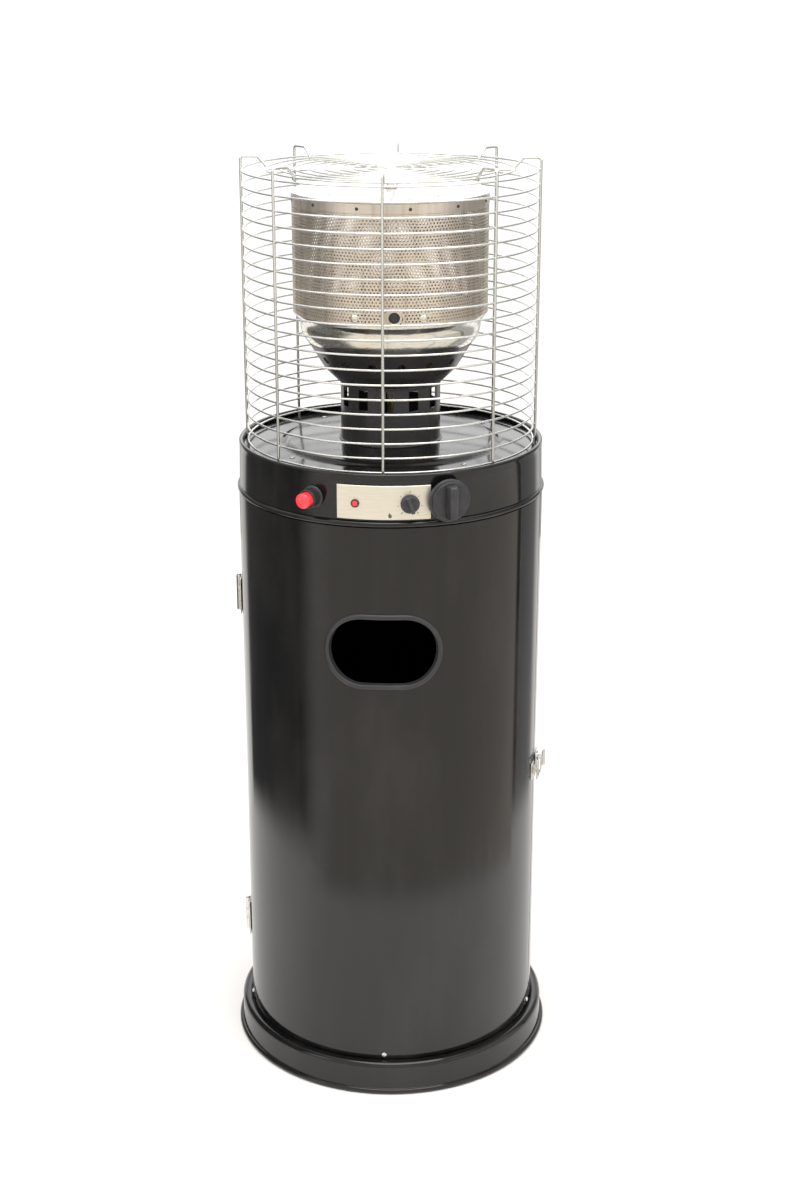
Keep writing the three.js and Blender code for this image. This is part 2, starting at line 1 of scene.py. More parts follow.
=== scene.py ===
"""The looks of a cylindrical gas patio heater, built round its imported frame.

Sizes are in millimetres and turn into metres where a piece is made. The front faces -Y, +Z is up,
and azimuths are in degrees from the front towards +X.
"""

import logging
import math
from dataclasses import dataclass, field
from enum import Enum
from typing import Callable, Iterable, Sequence

import bpy
from mathutils import Matrix, Vector


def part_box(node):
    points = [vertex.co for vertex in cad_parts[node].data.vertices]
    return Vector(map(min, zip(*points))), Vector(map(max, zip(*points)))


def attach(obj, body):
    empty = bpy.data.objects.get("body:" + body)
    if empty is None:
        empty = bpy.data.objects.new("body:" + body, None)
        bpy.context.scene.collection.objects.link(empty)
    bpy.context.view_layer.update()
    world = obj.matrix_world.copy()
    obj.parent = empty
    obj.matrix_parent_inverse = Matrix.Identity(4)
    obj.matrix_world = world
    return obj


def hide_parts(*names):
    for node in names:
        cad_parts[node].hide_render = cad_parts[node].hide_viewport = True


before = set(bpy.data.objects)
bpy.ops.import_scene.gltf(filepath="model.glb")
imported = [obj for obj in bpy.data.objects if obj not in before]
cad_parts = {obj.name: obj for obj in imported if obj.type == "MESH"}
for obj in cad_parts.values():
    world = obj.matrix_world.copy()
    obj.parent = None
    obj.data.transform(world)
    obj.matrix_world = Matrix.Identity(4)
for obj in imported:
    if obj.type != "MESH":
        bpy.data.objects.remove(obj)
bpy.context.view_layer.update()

LOG = logging.getLogger("heater")
MM = 0.001
MERGE = 2e-6

Pair = tuple[float, float]
Triple = tuple[float, float, float]


# ---------------------------------------------------------------- places


def place(node: str) -> tuple[Vector, Vector]:
    """Gives a CAD node's lowest and highest corners in millimetres.

    Args:
        node: The node's name.

    Returns:
        The two corners.
    """
    low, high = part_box(node)
    return low / MM, high / MM


def polar(azimuth: float, radius: float, z: float) -> Vector:
    """Gives the point at an azimuth, a distance from the axis and a height.

    Args:
        azimuth: Degrees from the front towards +X.
        radius: Distance from the axis.
        z: Height.

    Returns:
        The point, in the unit of radius and z.
    """
    angle = math.radians(azimuth)
    return Vector((radius * math.sin(angle), -radius * math.cos(angle), z))


def arc(centre: Pair, radius: float, start: float, end: float, steps: int = 6) -> list[Pair]:
    """Gives the points of an arc in a section.

    Args:
        centre: The arc's centre.
        radius: Its radius.
        start: First angle in degrees, from the first axis towards the second.
        end: Last angle.
        steps: Number of chords.

    Returns:
        The points, both ends included.
    """
    angles = [math.radians(start + (end - start) * i / steps) for i in range(steps + 1)]
    return [(centre[0] + radius * math.cos(a), centre[1] + radius * math.sin(a)) for a in angles]


# ---------------------------------------------------------------- pieces


class Piece:
    """A new piece on its way from a primitive to its finished shape. Sizes are in millimetres."""

    def __init__(self, name: str) -> None:
        """Takes the active object, which an operator has just added.

        Args:
            name: The piece's name.
        """
        self.object: bpy.types.Object = bpy.context.object
        self.object.name = name
        self.object.data.name = name
        self._settle()

    # ---- starts

    @staticmethod
    def clear() -> None:
        """Leaves edit mode and deselects everything."""
        if bpy.context.object is not None and bpy.context.object.mode != "OBJECT":
            bpy.ops.object.mode_set(mode="OBJECT")
        bpy.ops.object.select_all(action="DESELECT")

    @classmethod
    def outline(cls, name: str, points: Sequence[Sequence[float]], closed: bool,
                face: bool = False) -> "Piece":
        """Traces an outline point by point, starting from a plane merged to its centre.

        Args:
            name: The piece's name.
            points: The outline's corners.
            closed: Whether the last corner joins the first.
            face: Whether the closed outline gets a face.

        Returns:
            The outline.
        """
        corners = [Vector(p) * MM for p in points]
        cls.clear()
        bpy.ops.mesh.primitive_plane_add(size=MM, location=corners[0])
        piece = cls(name)
        piece.edit()
        bpy.ops.mesh.merge(type="CENTER")
        for before, after in zip(corners, corners[1:]):
            bpy.ops.mesh.extrude_region_move(TRANSFORM_OT_translate={"value": after - before})
        if closed:
            bpy.ops.mesh.select_all(action="SELECT")
            bpy.ops.mesh.edge_face_add()
            if not face:
                bpy.ops.mesh.delete(type="ONLY_FACE")
        return piece.leave()

    @classmethod
    def turned(cls, name: str, profile: Sequence[Pair], steps: int = 96, closed: bool = False,
               arc_from: float | None = None, arc_to: float = 0.0) -> "Piece":
        """Turns a profile about the Z axis, all the way round or between two azimuths.

        Args:
            name: The piece's name.
            profile: Radius and height pairs.
            steps: Number of strips.
            closed: Whether the profile is a ring's closed section.
            arc_from: First azimuth of an arc, or None for the whole turn.
            arc_to: Last azimuth of an arc.

        Returns:
            The turned piece.
        """
        whole = arc_from is None
        start = 0.0 if whole else arc_from
        points = [polar(start, r, z) for r, z in profile]
        piece = cls.outline(name, points, closed, face=closed and not whole)
        piece.edit()
        piece.sweep(360 if whole else arc_to - arc_from, (0, 0, 0), (0, 0, 1), steps)
        return piece.tidy()

    @classmethod
    def block(cls, name: str, low: Triple, high: Triple, edge: float = 0.0, segments: int = 3) -> "Piece":
        """Makes a block with rounded edges.

        Args:
            name: The piece's name.
            low: Its lowest corner.
            high: Its highest corner.
            edge: Radius of its edges.
            segments: Number of chords round an edge.

        Returns:
            The block.
        """
        a, b = Vector(low), Vector(high)
        cls.clear()
        bpy.ops.mesh.primitive_cube_add(size=1, location=(a + b) / 2 * MM, scale=(b - a) * MM)
        piece = cls(name)
        if edge:
            piece.edit()
            bpy.ops.mesh.bevel(offset=edge * MM, segments=segments, affect="EDGES")
            piece.leave()
        return piece

    @classmethod
    def bar(cls, name: str, radius: float, x0: float, x1: float, edge: float = 0.0,
            sides: int = 32) -> "Piece":
        """Makes a round bar along X with eased ends.

        Args:
            name: The piece's name.
            radius: The bar's radius.
            x0: Where it starts.
            x1: Where it ends.
            edge: Radius of its end edges.
            sides: Number of sides.

        Returns:
            The bar.
        """
        cls.clear()
        bpy.ops.mesh.primitive_cylinder_add(
            vertices=sides, radius=radius * MM, depth=(x1 - x0) * MM,
            location=((x0 + x1) / 2 * MM, 0, 0), rotation=(0, math.pi / 2, 0))
        piece = cls(name)
        return piece.soften(edge, 3, 60) if edge else piece

    @classmethod
    def obround(cls, name: str, width: float, height: float, z: float, y0: float, y1: float) -> "Piece":
        """Makes an obround prism that stands across the front.

        Args:
            name: The piece's name.
            width: Its width.
            height: Its height.
            z: Height of its middle.
            y0: Where it starts along Y.
            y1: Where it ends.

        Returns:
            The prism.
        """
        sides = 64
        cls.clear()
        bpy.ops.mesh.primitive_circle_add(
            vertices=sides, radius=height / 2 * MM, fill_type="NGON", location=(0, 0, 0),
            rotation=(0, 0, math.pi / sides))
        piece = cls(name)
        piece.turn((90, 0, 0)).shift((0, y0, z))
        half = (width - height) / 2 * MM
        for side in (-1, 1):
            piece.pick(lambda v: v.co.x * side > 0)
            bpy.ops.transform.translate(value=(side * half, 0, 0))
        bpy.ops.mesh.select_all(action="SELECT")
        bpy.ops.mesh.extrude_region_move(TRANSFORM_OT_translate={"value": (0, (y1 - y0) * MM, 0)})
        return piece.tidy()

    # ---- edit mode

    def edit(self) -> None:
        """Opens the piece in edit mode with everything on it selected."""
        self.clear()
        self.object.select_set(True)
        bpy.context.view_layer.objects.active = self.object
        bpy.ops.object.mode_set(mode="EDIT")
        bpy.ops.mesh.select_mode(type="VERT")
        bpy.ops.mesh.select_all(action="SELECT")

    def leave(self) -> "Piece":
        """Goes back to object mode."""
        bpy.ops.object.mode_set(mode="OBJECT")
        return self

    def pick(self, wanted: Callable[[bpy.types.MeshVertex], bool]) -> None:
        """Opens the piece in edit mode with only some vertices selected.

        Args:
            wanted: Says whether a vertex is selected.
        """
        self.edit()
        bpy.ops.mesh.select_all(action="DESELECT")
        bpy.ops.object.mode_set(mode="OBJECT")
        for vertex in self.object.data.vertices:
            vertex.select = wanted(vertex)
        bpy.ops.object.mode_set(mode="EDIT")

    @staticmethod
    def sweep(degrees: float, centre: Sequence[float], axis: Triple, steps: int) -> None:
        """Spins what is selected, counter-clockwise about an axis.

        Args:
            degrees: How far.
            centre: A point of the axis.
            axis: Its direction.
            steps: Number of strips.
        """
        bpy.ops.mesh.spin(steps=steps, angle=-math.radians(degrees), center=Vector(centre) * MM, axis=axis)

    def tidy(self) -> "Piece":
        """Merges doubled vertices, turns every face outwards and leaves edit mode."""
        self.edit()
        bpy.ops.mesh.remove_doubles(threshold=MERGE)
        bpy.ops.mesh.normals_make_consistent(inside=False)
        return self.leave()

    # ---- modifiers

    def _apply(self, kind: str, **settings: object) -> "Piece":
        """Adds a modifier and applies it.

        Args:
            kind: The modifier's type.
            **settings: Its settings.

        Returns:
            The piece.
        """
        self.clear()
        self.object.select_set(True)
        bpy.context.view_layer.objects.active = self.object
        modifier = self.object.modifiers.new(kind.title(), kind)
        for key, value in settings.items():
            setattr(modifier, key, value)
        bpy.ops.object.modifier_apply(modifier=modifier.name)
        return self

    def soften(self, width: float, segments: int = 2, angle: float = 35) -> "Piece":
        """Rounds the sharp edges.

        Args:
            width: Radius of the edges.
            segments: Number of chords round them.
            angle: The least angle in degrees that counts as sharp.

        Returns:
            The piece.
        """
        return self._apply("BEVEL", width=width * MM, segments=segments, limit_method="ANGLE",
                           angle_limit=math.radians(angle), use_clamp_overlap=True)

    def thicken(self, wall: float) -> "Piece":
        """Gives a surface a wall on its inner side.

        Args:
            wall: The wall's thickness.

        Returns:
            The piece.
        """
        return self._apply("SOLIDIFY", thickness=wall * MM, offset=-1)

    def repeat(self, count: int, step: Triple) -> "Piece":
        """Repeats the piece in a row.

        Args:
            count: How many there are in all.
            step: From one to the next.

        Returns:
            The piece.
        """
        return self._apply("ARRAY", count=count, use_relative_offset=False, use_constant_offset=True,
                           constant_offset_displace=Vector(step) * MM)

    def cut(self, tool: "Piece") -> "Piece":
        """Cuts another piece's shape away and removes that piece.

        Args:
            tool: The shape to cut.

        Returns:
            The piece.
        """
        return self._combine(tool, "DIFFERENCE")

    def fuse(self, *others: "Piece") -> "Piece":
        """Makes one closed shape of this piece and others, which are removed.

        Args:
            *others: The other pieces.

        Returns:
            The piece.
        """
        for other in others:
            self._combine(other, "UNION")
        return self

    def _combine(self, tool: "Piece", operation: str) -> "Piece":
        """Applies a boolean modifier and removes its tool.

        Args:
            tool: The other shape.
            operation: The modifier's operation.

        Returns:
            The piece.
        """
        self._apply("BOOLEAN", operation=operation, object=tool.object, solver="EXACT")
        bpy.data.objects.remove(tool.object)
        return self

    # ---- whole piece

    def _settle(self) -> None:
        """Applies the object's place, turn and scale to its mesh."""
        self.clear()
        self.object.select_set(True)
        bpy.context.view_layer.objects.active = self.object
        bpy.ops.object.transform_apply(location=True, rotation=True, scale=True)

    def turn(self, degrees: Triple) -> "Piece":
        """Turns the piece about the origin.

        Args:
            degrees: Turn about X, then Y, then Z.

        Returns:
            The piece.
        """
        self.object.rotation_euler = [math.radians(d) for d in degrees]
        self._settle()
        return self

    def shift(self, step: Sequence[float]) -> "Piece":
        """Moves the piece by a step."""
        self.object.location = Vector(step) * MM
        self._settle()
        return self

    def stand(self, azimuth: float, z: float = 0.0) -> "Piece":
        """Takes a piece made with +X outwards to its azimuth and height.

        Args:
            azimuth: Degrees from the front towards +X.
            z: Height of its origin.

        Returns:
            The piece.
        """
        return self.shift((0, 0, z)).turn((0, 0, azimuth - 90))

    def wrap(self, radius: float) -> "Piece":
        """Bends a flat piece, laid across the front, round the cabinet.

        Args:
            radius: The radius at which widths are kept. The piece's -Y is its distance from the axis.

        Returns:
            The piece.
        """
        for vertex in self.object.data.vertices:
            x, y, z = vertex.co
            vertex.co = polar(math.degrees(x / (radius * MM)), -y, z)
        return self

    def join(self, *others: "Piece") -> "Piece":
        """Takes other pieces' meshes into this one.

        Args:
            *others: The other pieces.

        Returns:
            The piece.
        """
        self.clear()
        for other in others:
            other.object.select_set(True)
        self.object.select_set(True)
        bpy.context.view_layer.objects.active = self.object
        bpy.ops.object.join()
        return self

    def copy(self, name: str) -> "Piece":
        """Copies the piece with a mesh of its own.

        Args:
            name: The copy's name.

        Returns:
            The copy.
        """
        self.clear()
        self.object.select_set(True)
        bpy.context.view_layer.objects.active = self.object
        bpy.ops.object.duplicate(linked=False)
        return Piece(name)

    def smooth(self, angle: float = 30) -> "Piece":
        """Shades the piece smooth up to an angle between faces."""
        self.clear()
        self.object.select_set(True)
        bpy.context.view_layer.objects.active = self.object
        bpy.ops.object.shade_smooth_by_angle(angle=math.radians(angle))
        return self


class WireBender:
    """Bends a round wire, straight by straight and bend by bend."""

    def __init__(self, name: str, radius: float, start: Sequence[float], heading: Sequence[float],
                 sides: int = 10) -> None:
        """Starts a wire.

        Args:
            name: The piece's name.
            radius: The wire's radius.
            start: Where it starts.
            heading: The direction that it sets off in.
            sides: Number of sides.
        """
        self.at = Vector(start)
        self.heading = Vector(heading).normalized()
        Piece.clear()
        bpy.ops.mesh.primitive_circle_add(
            vertices=sides, radius=radius * MM, fill_type="NGON", location=self.at * MM,
            rotation=self.heading.to_track_quat("Z", "Y").to_euler())
        self.piece = Piece(name)
        self.piece.edit()

    def straight(self, length: float) -> "WireBender":
        """Runs the wire straight on.

        Args:
            length: How far.

        Returns:
            The bender.
        """
        step = self.heading * length
        bpy.ops.mesh.extrude_region_move(TRANSFORM_OT_translate={"value": step * MM})
        self.at += step
        return self

    def bend(self, radius: float, degrees: float, towards: Sequence[float], steps: int = 6) -> "WireBender":
        """Bends the wire.

        Args:
            radius: The bend's radius.
            degrees: How far it turns.
            towards: The side that it turns to.
            steps: Number of chords.

        Returns:
            The bender.
        """
        side = Vector(towards)
        side = (side - self.heading * side.dot(self.heading)).normalized()
        centre = self.at + side * radius
        axis = self.heading.cross(side).normalized()
        Piece.sweep(degrees, centre, tuple(axis), steps)
        turn = Matrix.Rotation(math.radians(degrees), 3, axis)
        self.at = centre + turn @ (self.at - centre)
        self.heading = turn @ self.heading
        return self

    def done(self) -> Piece:
        """Ends the wire."""
        return self.piece.tidy().smooth(60)


# ---------------------------------------------------------------- shader sockets


class Sock:
    """A node's output that takes part in Python expressions, which add Math nodes."""

    def __init__(self, shade: "Shade", socket: bpy.types.NodeSocket) -> None:
        """Wraps a socket.

        Args:
            shade: The material that it belongs to.
            socket: The output.
        """
        self.shade = shade
        self.socket = socket

    def maths(self, operation: str, *values: "float | Sock") -> "Sock":
        """Adds a Math node.

        Args:
            operation: The node's operation.
            *values: Its inputs.

        Returns:
            The result.
        """
        return self.shade.node("ShaderNodeMath", {"operation": operation}, dict(enumerate(values)))

    def __add__(self, other: "float | Sock") -> "Sock":
        """Adds."""
        return self.maths("ADD", self, other)

    __radd__ = __add__

    def __sub__(self, other: "float | Sock") -> "Sock":
        """Subtracts."""
        return self.maths("SUBTRACT", self, other)

    def __rsub__(self, other: "float | Sock") -> "Sock":
        """Subtracts from a number."""
        return self.maths("SUBTRACT", other, self)

    def __mul__(self, other: "float | Sock") -> "Sock":
        """Multiplies."""
        return self.maths("MULTIPLY", self, other)

    __rmul__ = __mul__

    def fade(self, low: float, high: float) -> "Sock":
        """Maps low to 0 and high to 1, and stays within them.

        Args:
            low: The value that gives 0.
            high: The value that gives 1.

        Returns:
            The share.
        """
        return self.shade.node("ShaderNodeMapRange", {"interpolation_type": "SMOOTHSTEP", "clamp": True},
                               {"Value": self, "From Min": low, "From Max": high})


class Shade:
    """A material being put together from nodes."""

    def __init__(self, name: str) -> None:
        """Starts a material with its output and a surface shader.

        Args:
            name: The material's name.
        """
        self.material = bpy.data.materials.new(name)
        self.material.use_nodes = True
        self.tree = self.material.node_tree
        self.tree.nodes.clear()
        self.surface = self.tree.nodes.new("ShaderNodeBsdfPrincipled")
        self.output = self.tree.nodes.new("ShaderNodeOutputMaterial")
        self.tree.links.new(self.surface.outputs[0], self.output.inputs["Surface"])

    def show(self, shader: Sock) -> bpy.types.Material:
        """Shows a shader in place of the surface shader and gives the material.

        Args:
            shader: The shader.

        Returns:
            The material.
        """
        self.tree.nodes.remove(self.surface)
        self.tree.links.new(shader.socket, self.output.inputs["Surface"])
        return self.material

    def _feed(self, socket: bpy.types.NodeSocket, value: object) -> None:
        """Links a wrapped socket to an input, or sets the input.

        Args:
            socket: The input.
            value: A Sock, a number or several numbers.
        """
        if isinstance(value, Sock):
            self.tree.links.new(value.socket, socket)
        elif isinstance(value, tuple) and len(value) == 3 and socket.type == "RGBA":
            socket.default_value = (*value, 1.0)
        else:
            socket.default_value = value

    def node(self, kind: str, settings: dict | None = None, inputs: dict | None = None,
             output: int | str = 0) -> Sock:
        """Adds a node.

        Args:
            kind: The node's type.
            settings: Its settings.
            inputs: Values or links by input name or number.
            output: The output that is given back.

        Returns:
            That output.
        """
        made = self.tree.nodes.new(kind)
        for key, value in (settings or {}).items():
            setattr(made, key, value)
        for key, value in (inputs or {}).items():
            self._feed(made.inputs[key], value)
        return Sock(self, made.outputs[output])

    def coordinates(self, scale: Triple = (1, 1, 1)) -> Sock:
        """Gives Object coordinates in metres, scaled along each axis."""
        point = self.node("ShaderNodeTexCoord", output="Object")
        return self.node("ShaderNodeMapping", None, {"Vector": point, "Scale": scale})

    def noise(self, scale: float, detail: float = 3, stretch: Triple = (1, 1, 1),
              rough: float = 0.5) -> Sock:
        """Gives noise from 0 to 1.

        Args:
            scale: Its fineness, in waves to the metre.
            detail: Number of finer layers.
            stretch: Scale of the coordinates along each axis.
            rough: Weight of the finer layers.

        Returns:
            The noise.
        """
        return self.node("ShaderNodeTexNoise", {"noise_dimensions": "3D"}, {
            "Vector": self.coordinates(stretch), "Scale": scale, "Detail": detail, "Roughness": rough})

    def height(self) -> Sock:
        """Gives the height in metres."""
        return self.node("ShaderNodeSeparateXYZ", None, {0: self.coordinates()}, output=2)

    def around(self) -> Sock:
        """Gives the angle round the heater's axis, from -pi to pi, with 0 at the front."""
        split = self.node("ShaderNodeSeparateXYZ", None, {0: self.coordinates()})
        x = Sock(self, split.socket.node.outputs[0])
        y = Sock(self, split.socket.node.outputs[1])
        return x.maths("ARCTAN2", x, 0 - y)

    def blend(self, share: "Sock | float", first: "Sock | Triple", second: "Sock | Triple",
              kind: str = "MIX") -> Sock:
        """Mixes two colours.

        Args:
            share: Share of the second.
            first: The first colour.
            second: The second colour.
            kind: The blend type.

        Returns:
            The colour.
        """
        return self.node("ShaderNodeMix", {"data_type": "RGBA", "blend_type": kind},
                         {0: share, 6: first, 7: second}, output=2)

    def bump(self, height: Sock, depth: float, strength: float = 1.0, under: Sock | None = None) -> Sock:
        """Turns a height into a bumped normal.

        Args:
            height: The height, from 0 to 1.
            depth: What a height of 1 is, in millimetres.
            strength: Strength of the bump.
            under: A coarser bump beneath.

        Returns:
            The normal.
        """
        inputs: dict[str, object] = {"Strength": strength, "Distance": depth * MM, "Height": height}
        if under is not None:
            inputs["Normal"] = under
        return self.node("ShaderNodeBump", None, inputs)

    def finish(self, **inputs: object) -> bpy.types.Material:
        """Sets the surface shader and gives the material.

        Args:
            **inputs: Values or links by input name, with _ for a space.

        Returns:
            The material.
        """
        for key, value in inputs.items():
            self._feed(self.surface.inputs[key.replace("_", " ")], value)
        return self.material


# ---------------------------------------------------------------- finishes


class Finish:
    """A finish that makes its material once and hands it out. slot is the record's material slot."""

    slot = ""
    _made: dict[str, bpy.types.Material] = {}

    def material(self) -> bpy.types.Material:
        """Gives the finish's material."""
        key = repr(self)
        if key not in Finish._made:
            Finish._made[key] = self.make()
        return Finish._made[key]

    def make(self) -> bpy.types.Material:
        """Puts the material together."""
        raise NotImplementedError


class Sheen(Enum):
    """How an enamelled piece was sprayed."""

    PANEL = "panel"
    PRESSED = "pressed"
    HEATED = "heated"


@dataclass(frozen=True)
class BlackEnamel(Finish):
    """Gloss black enamel on sheet steel, with a faint orange peel, dust and wiping marks."""

    sheen: Sheen = Sheen.PANEL
    colour: Triple = (0.0050, 0.0048, 0.0048)
    baked: Triple = (0.022, 0.021, 0.020)
    dust: Triple = (0.085, 0.080, 0.074)
    gloss: float = 0.085
    slot = "black_enamel"

    def make(self) -> bpy.types.Material:
        """Puts the material together."""
        s = Shade(f"black_enamel_{self.sheen.value}")
        smudge = s.noise(9, 5, (1, 1, 0.35), 0.6).fade(0.42, 0.72)
        specks = s.noise(620, 2).fade(0.70, 0.78)
        wiping = s.noise(60, 3, (1, 1, 0.06)).fade(0.45, 0.8)
        heated = self.sheen is Sheen.HEATED
        heat = 0.16 if heated else 0.0
        rough = self.gloss + heat + smudge * 0.07 + wiping * 0.035 + specks * 0.25
        ground = self.baked if heated else self.colour
        colour = s.blend(smudge * 0.10 + specks * 0.35 + wiping * 0.03, ground, self.dust)
        waves = s.noise(5.5, 1, (1, 1, 0.16))
        depth = 1.1 if self.sheen is Sheen.PANEL else 0.25
        peel = s.noise(520, 2)
        normal = s.bump(peel, 0.012, 0.55, s.bump(waves, depth, 0.6))
        return s.finish(Base_Color=colour, Roughness=rough, Normal=normal, IOR=1.50)


@dataclass(frozen=True)
class BlackPlastic(Finish):
    """Satin black moulded plastic with a fine spark-eroded texture."""

    colour: Triple = (0.020, 0.020, 0.022)
    rubbed: Triple = (0.062, 0.062, 0.066)
    slot = "black_plastic"

    def make(self) -> bpy.types.Material:
        """Puts the material together."""
        s = Shade("black_plastic")
        grain = s.noise(1900, 2)
        dust = s.noise(34, 5, rough=0.65).fade(0.48, 0.75)
        edges = s.node("ShaderNodeNewGeometry", output="Pointiness").fade(0.51, 0.60)
        colour = s.blend(dust * 0.35 + edges * 0.4, self.colour, self.rubbed)
        return s.finish(Base_Color=colour, Roughness=0.33 + dust * 0.14 + grain * 0.06,
                        Normal=s.bump(grain, 0.05, 0.5), IOR=1.5)


@dataclass(frozen=True)
class PerforatedSteel(Finish):
    """Stainless screen steel, tinted by heat and streaked up and down by rolling."""

    cool: Triple = (0.66, 0.59, 0.51)
    straw: Triple = (0.78, 0.68, 0.57)
    soot: Triple = (0.36, 0.32, 0.28)
    slot = "perforated_steel"

    def make(self) -> bpy.types.Material:
        """Puts the material together."""
        s = Shade("perforated_steel")
        cloud = s.noise(13, 4, (1, 1, 0.5), 0.6)
        tint = (1.30 - s.height() + cloud * 0.07 - 0.035).fade(0.02, 0.15)
        streak = s.noise(120, 3, (1, 1, 0.05))
        colour = s.blend(tint, self.cool, self.straw)
        colour = s.blend(streak.fade(0.42, 0.80) * 0.6, colour, self.soot)
        sheet = s.noise(34, 2, (1, 1, 0.12))
        normal = s.bump(streak, 0.06, 0.4, s.bump(sheet, 0.9, 0.5))
        return s.finish(Base_Color=colour, Metallic=1.0, Roughness=0.26 + streak * 0.14 + cloud * 0.08,
                        Normal=normal)


@dataclass(frozen=True)
class PolishedSteel(Finish):
    """Mirror-polished stainless steel, with hairlines round the axis and a breath of heat tint."""

    colour: Triple = (0.80, 0.79, 0.74)
    tint: Triple = (0.88, 0.76, 0.52)
    tinting: float = 0.35
    slot = "polished_steel"

    def make(self) -> bpy.types.Material:
        """Puts the material together."""
        s = Shade("polished_steel")
        cloud = s.noise(16, 4, rough=0.6)
        hair = s.noise(300, 3, (0.12, 0.12, 5))
        wave = s.noise(11, 1, (1, 1, 0.3))
        colour = s.blend(cloud.fade(0.35, 0.75) * self.tinting, self.colour, self.tint)
        normal = s.bump(hair, 0.01, 0.25, s.bump(wave, 0.7, 0.5))
        return s.finish(Base_Color=colour, Metallic=1.0, Roughness=0.08 + hair * 0.08 + cloud * 0.05,
                        Normal=normal)


@dataclass(frozen=True)
class BrightWire(Finish):
    """Bright nickel-plated wire with drawing lines and dulled spots."""

    colour: Triple = (0.74, 0.74, 0.71)
    dull: Triple = (0.44, 0.44, 0.42)
    slot = "bright_wire"

    def make(self) -> bpy.types.Material:
        """Puts the material together."""
        s = Shade("bright_wire")
        drawn = s.noise(240, 3, rough=0.6)
        dulled = s.noise(30, 3).fade(0.50, 0.72)
        colour = s.blend(dulled * 0.55, self.colour, self.dull)
        return s.finish(Base_Color=colour, Metallic=1.0, Roughness=0.20 + dulled * 0.16 + drawn * 0.08,
                        Normal=s.bump(drawn, 0.03, 0.4))


@dataclass(frozen=True)
class PlatedFittings(Finish):
    """Zinc-plated stampings, slightly cloudy, with rubbed edges."""

    colour: Triple = (0.72, 0.71, 0.68)
    cloudy: Triple = (0.50, 0.49, 0.46)
    slot = "plated_fittings"

    def make(self) -> bpy.types.Material:
        """Puts the material together."""
        s = Shade("plated_fittings")
        cloud = s.noise(170, 4, rough=0.6)
        lines = s.noise(700, 2, (1, 1, 0.1))
        colour = s.blend(cloud.fade(0.4, 0.7) * 0.7, self.colour, self.cloudy)
        return s.finish(Base_Color=colour, Metallic=1.0, Roughness=0.22 + cloud * 0.16,
                        Normal=s.bump(lines, 0.02, 0.4))


@dataclass(frozen=True)
class PanelPlate(Finish):
    """Champagne anodised plate, brushed along its length."""

    colour: Triple = (0.82, 0.77, 0.65)
    line: Triple = (0.66, 0.62, 0.52)
    slot = "panel_plate"

    def make(self) -> bpy.types.Material:
        """Puts the material together."""
        s = Shade("panel_plate")
        brushed = s.noise(900, 4, (0.03, 0.03, 1), 0.65)
        cloud = s.noise(22, 3).fade(0.35, 0.7)
        colour = s.blend(brushed.fade(0.35, 0.75) * 0.6 + cloud * 0.15, self.colour, self.line)
        return s.finish(Base_Color=colour, Metallic=0.82, Roughness=0.30 + brushed * 0.16,
                        Normal=s.bump(brushed, 0.02, 0.5), Specular_IOR_Level=0.6)


@dataclass(frozen=True)
class RedPlastic(Finish):
    """Glossy red plastic with fine handling marks, and a faint painted glow: it gives off a little light of
    its own colour though it is no lamp.
    """

    colour: Triple = (0.86, 0.028, 0.045)
    pale: Triple = (0.95, 0.16, 0.15)
    slot = "red_plastic"

    def make(self) -> bpy.types.Material:
        """Puts the material together."""
        s = Shade("red_plastic")
        marks = s.noise(140, 4, rough=0.6)
        colour = s.blend(marks.fade(0.45, 0.75) * 0.35, self.colour, self.pale)
        # The emission of the part's own colour at strength 0.10 is a painted glow. It brightens the red
        # parts whatever light falls on them.
        return s.finish(Base_Color=colour, Roughness=0.18 + marks * 0.12, Normal=s.bump(marks, 0.02, 0.3),
                        Coat_Weight=0.4, Emission_Color=colour, Emission_Strength=0.10)


@dataclass(frozen=True)
class Brass(Finish):
    """Machined brass with tool marks and tarnish."""

    colour: Triple = (0.76, 0.56, 0.24)
    tarnish: Triple = (0.36, 0.25, 0.12)
    slot = "brass"

    def make(self) -> bpy.types.Material:
        """Puts the material together."""
        s = Shade("brass")
        spots = s.noise(70, 4).fade(0.45, 0.75)
        tool = s.noise(600, 2, (1, 1, 0.08))
        return s.finish(Base_Color=s.blend(spots * 0.8, self.colour, self.tarnish), Metallic=1.0,
                        Roughness=0.28 + spots * 0.25, Normal=s.bump(tool, 0.03, 0.4))


@dataclass(frozen=True)
class CastIron(Finish):
    """Sand-cast iron, pitted and browned."""

    colour: Triple = (0.10, 0.095, 0.09)
    browned: Triple = (0.17, 0.10, 0.06)
    slot = "cast_iron"

    def make(self) -> bpy.types.Material:
        """Puts the material together."""
        s = Shade("cast_iron")
        pits = s.noise(420, 5, rough=0.65)
        rust = s.noise(50, 4).fade(0.48, 0.7)
        return s.finish(Base_Color=s.blend(rust * 0.7, self.colour, self.browned), Metallic=0.6,
                        Roughness=0.62 + pits * 0.2, Normal=s.bump(pits, 0.35, 0.7))


@dataclass(frozen=True)
class Ceramic(Finish):
    """Glazed white ceramic with crazing."""

    colour: Triple = (0.80, 0.77, 0.70)
    stain: Triple = (0.45, 0.40, 0.33)
    slot = "ceramic"

    def make(self) -> bpy.types.Material:
        """Puts the material together."""
        s = Shade("ceramic")
        crazing = s.node("ShaderNodeTexVoronoi", {"feature": "DISTANCE_TO_EDGE"}, {
            "Vector": s.coordinates(), "Scale": 420.0}).fade(0.0, 0.06)
        return s.finish(Base_Color=s.blend(crazing, self.stain, self.colour), Roughness=0.25 + crazing * 0.1)


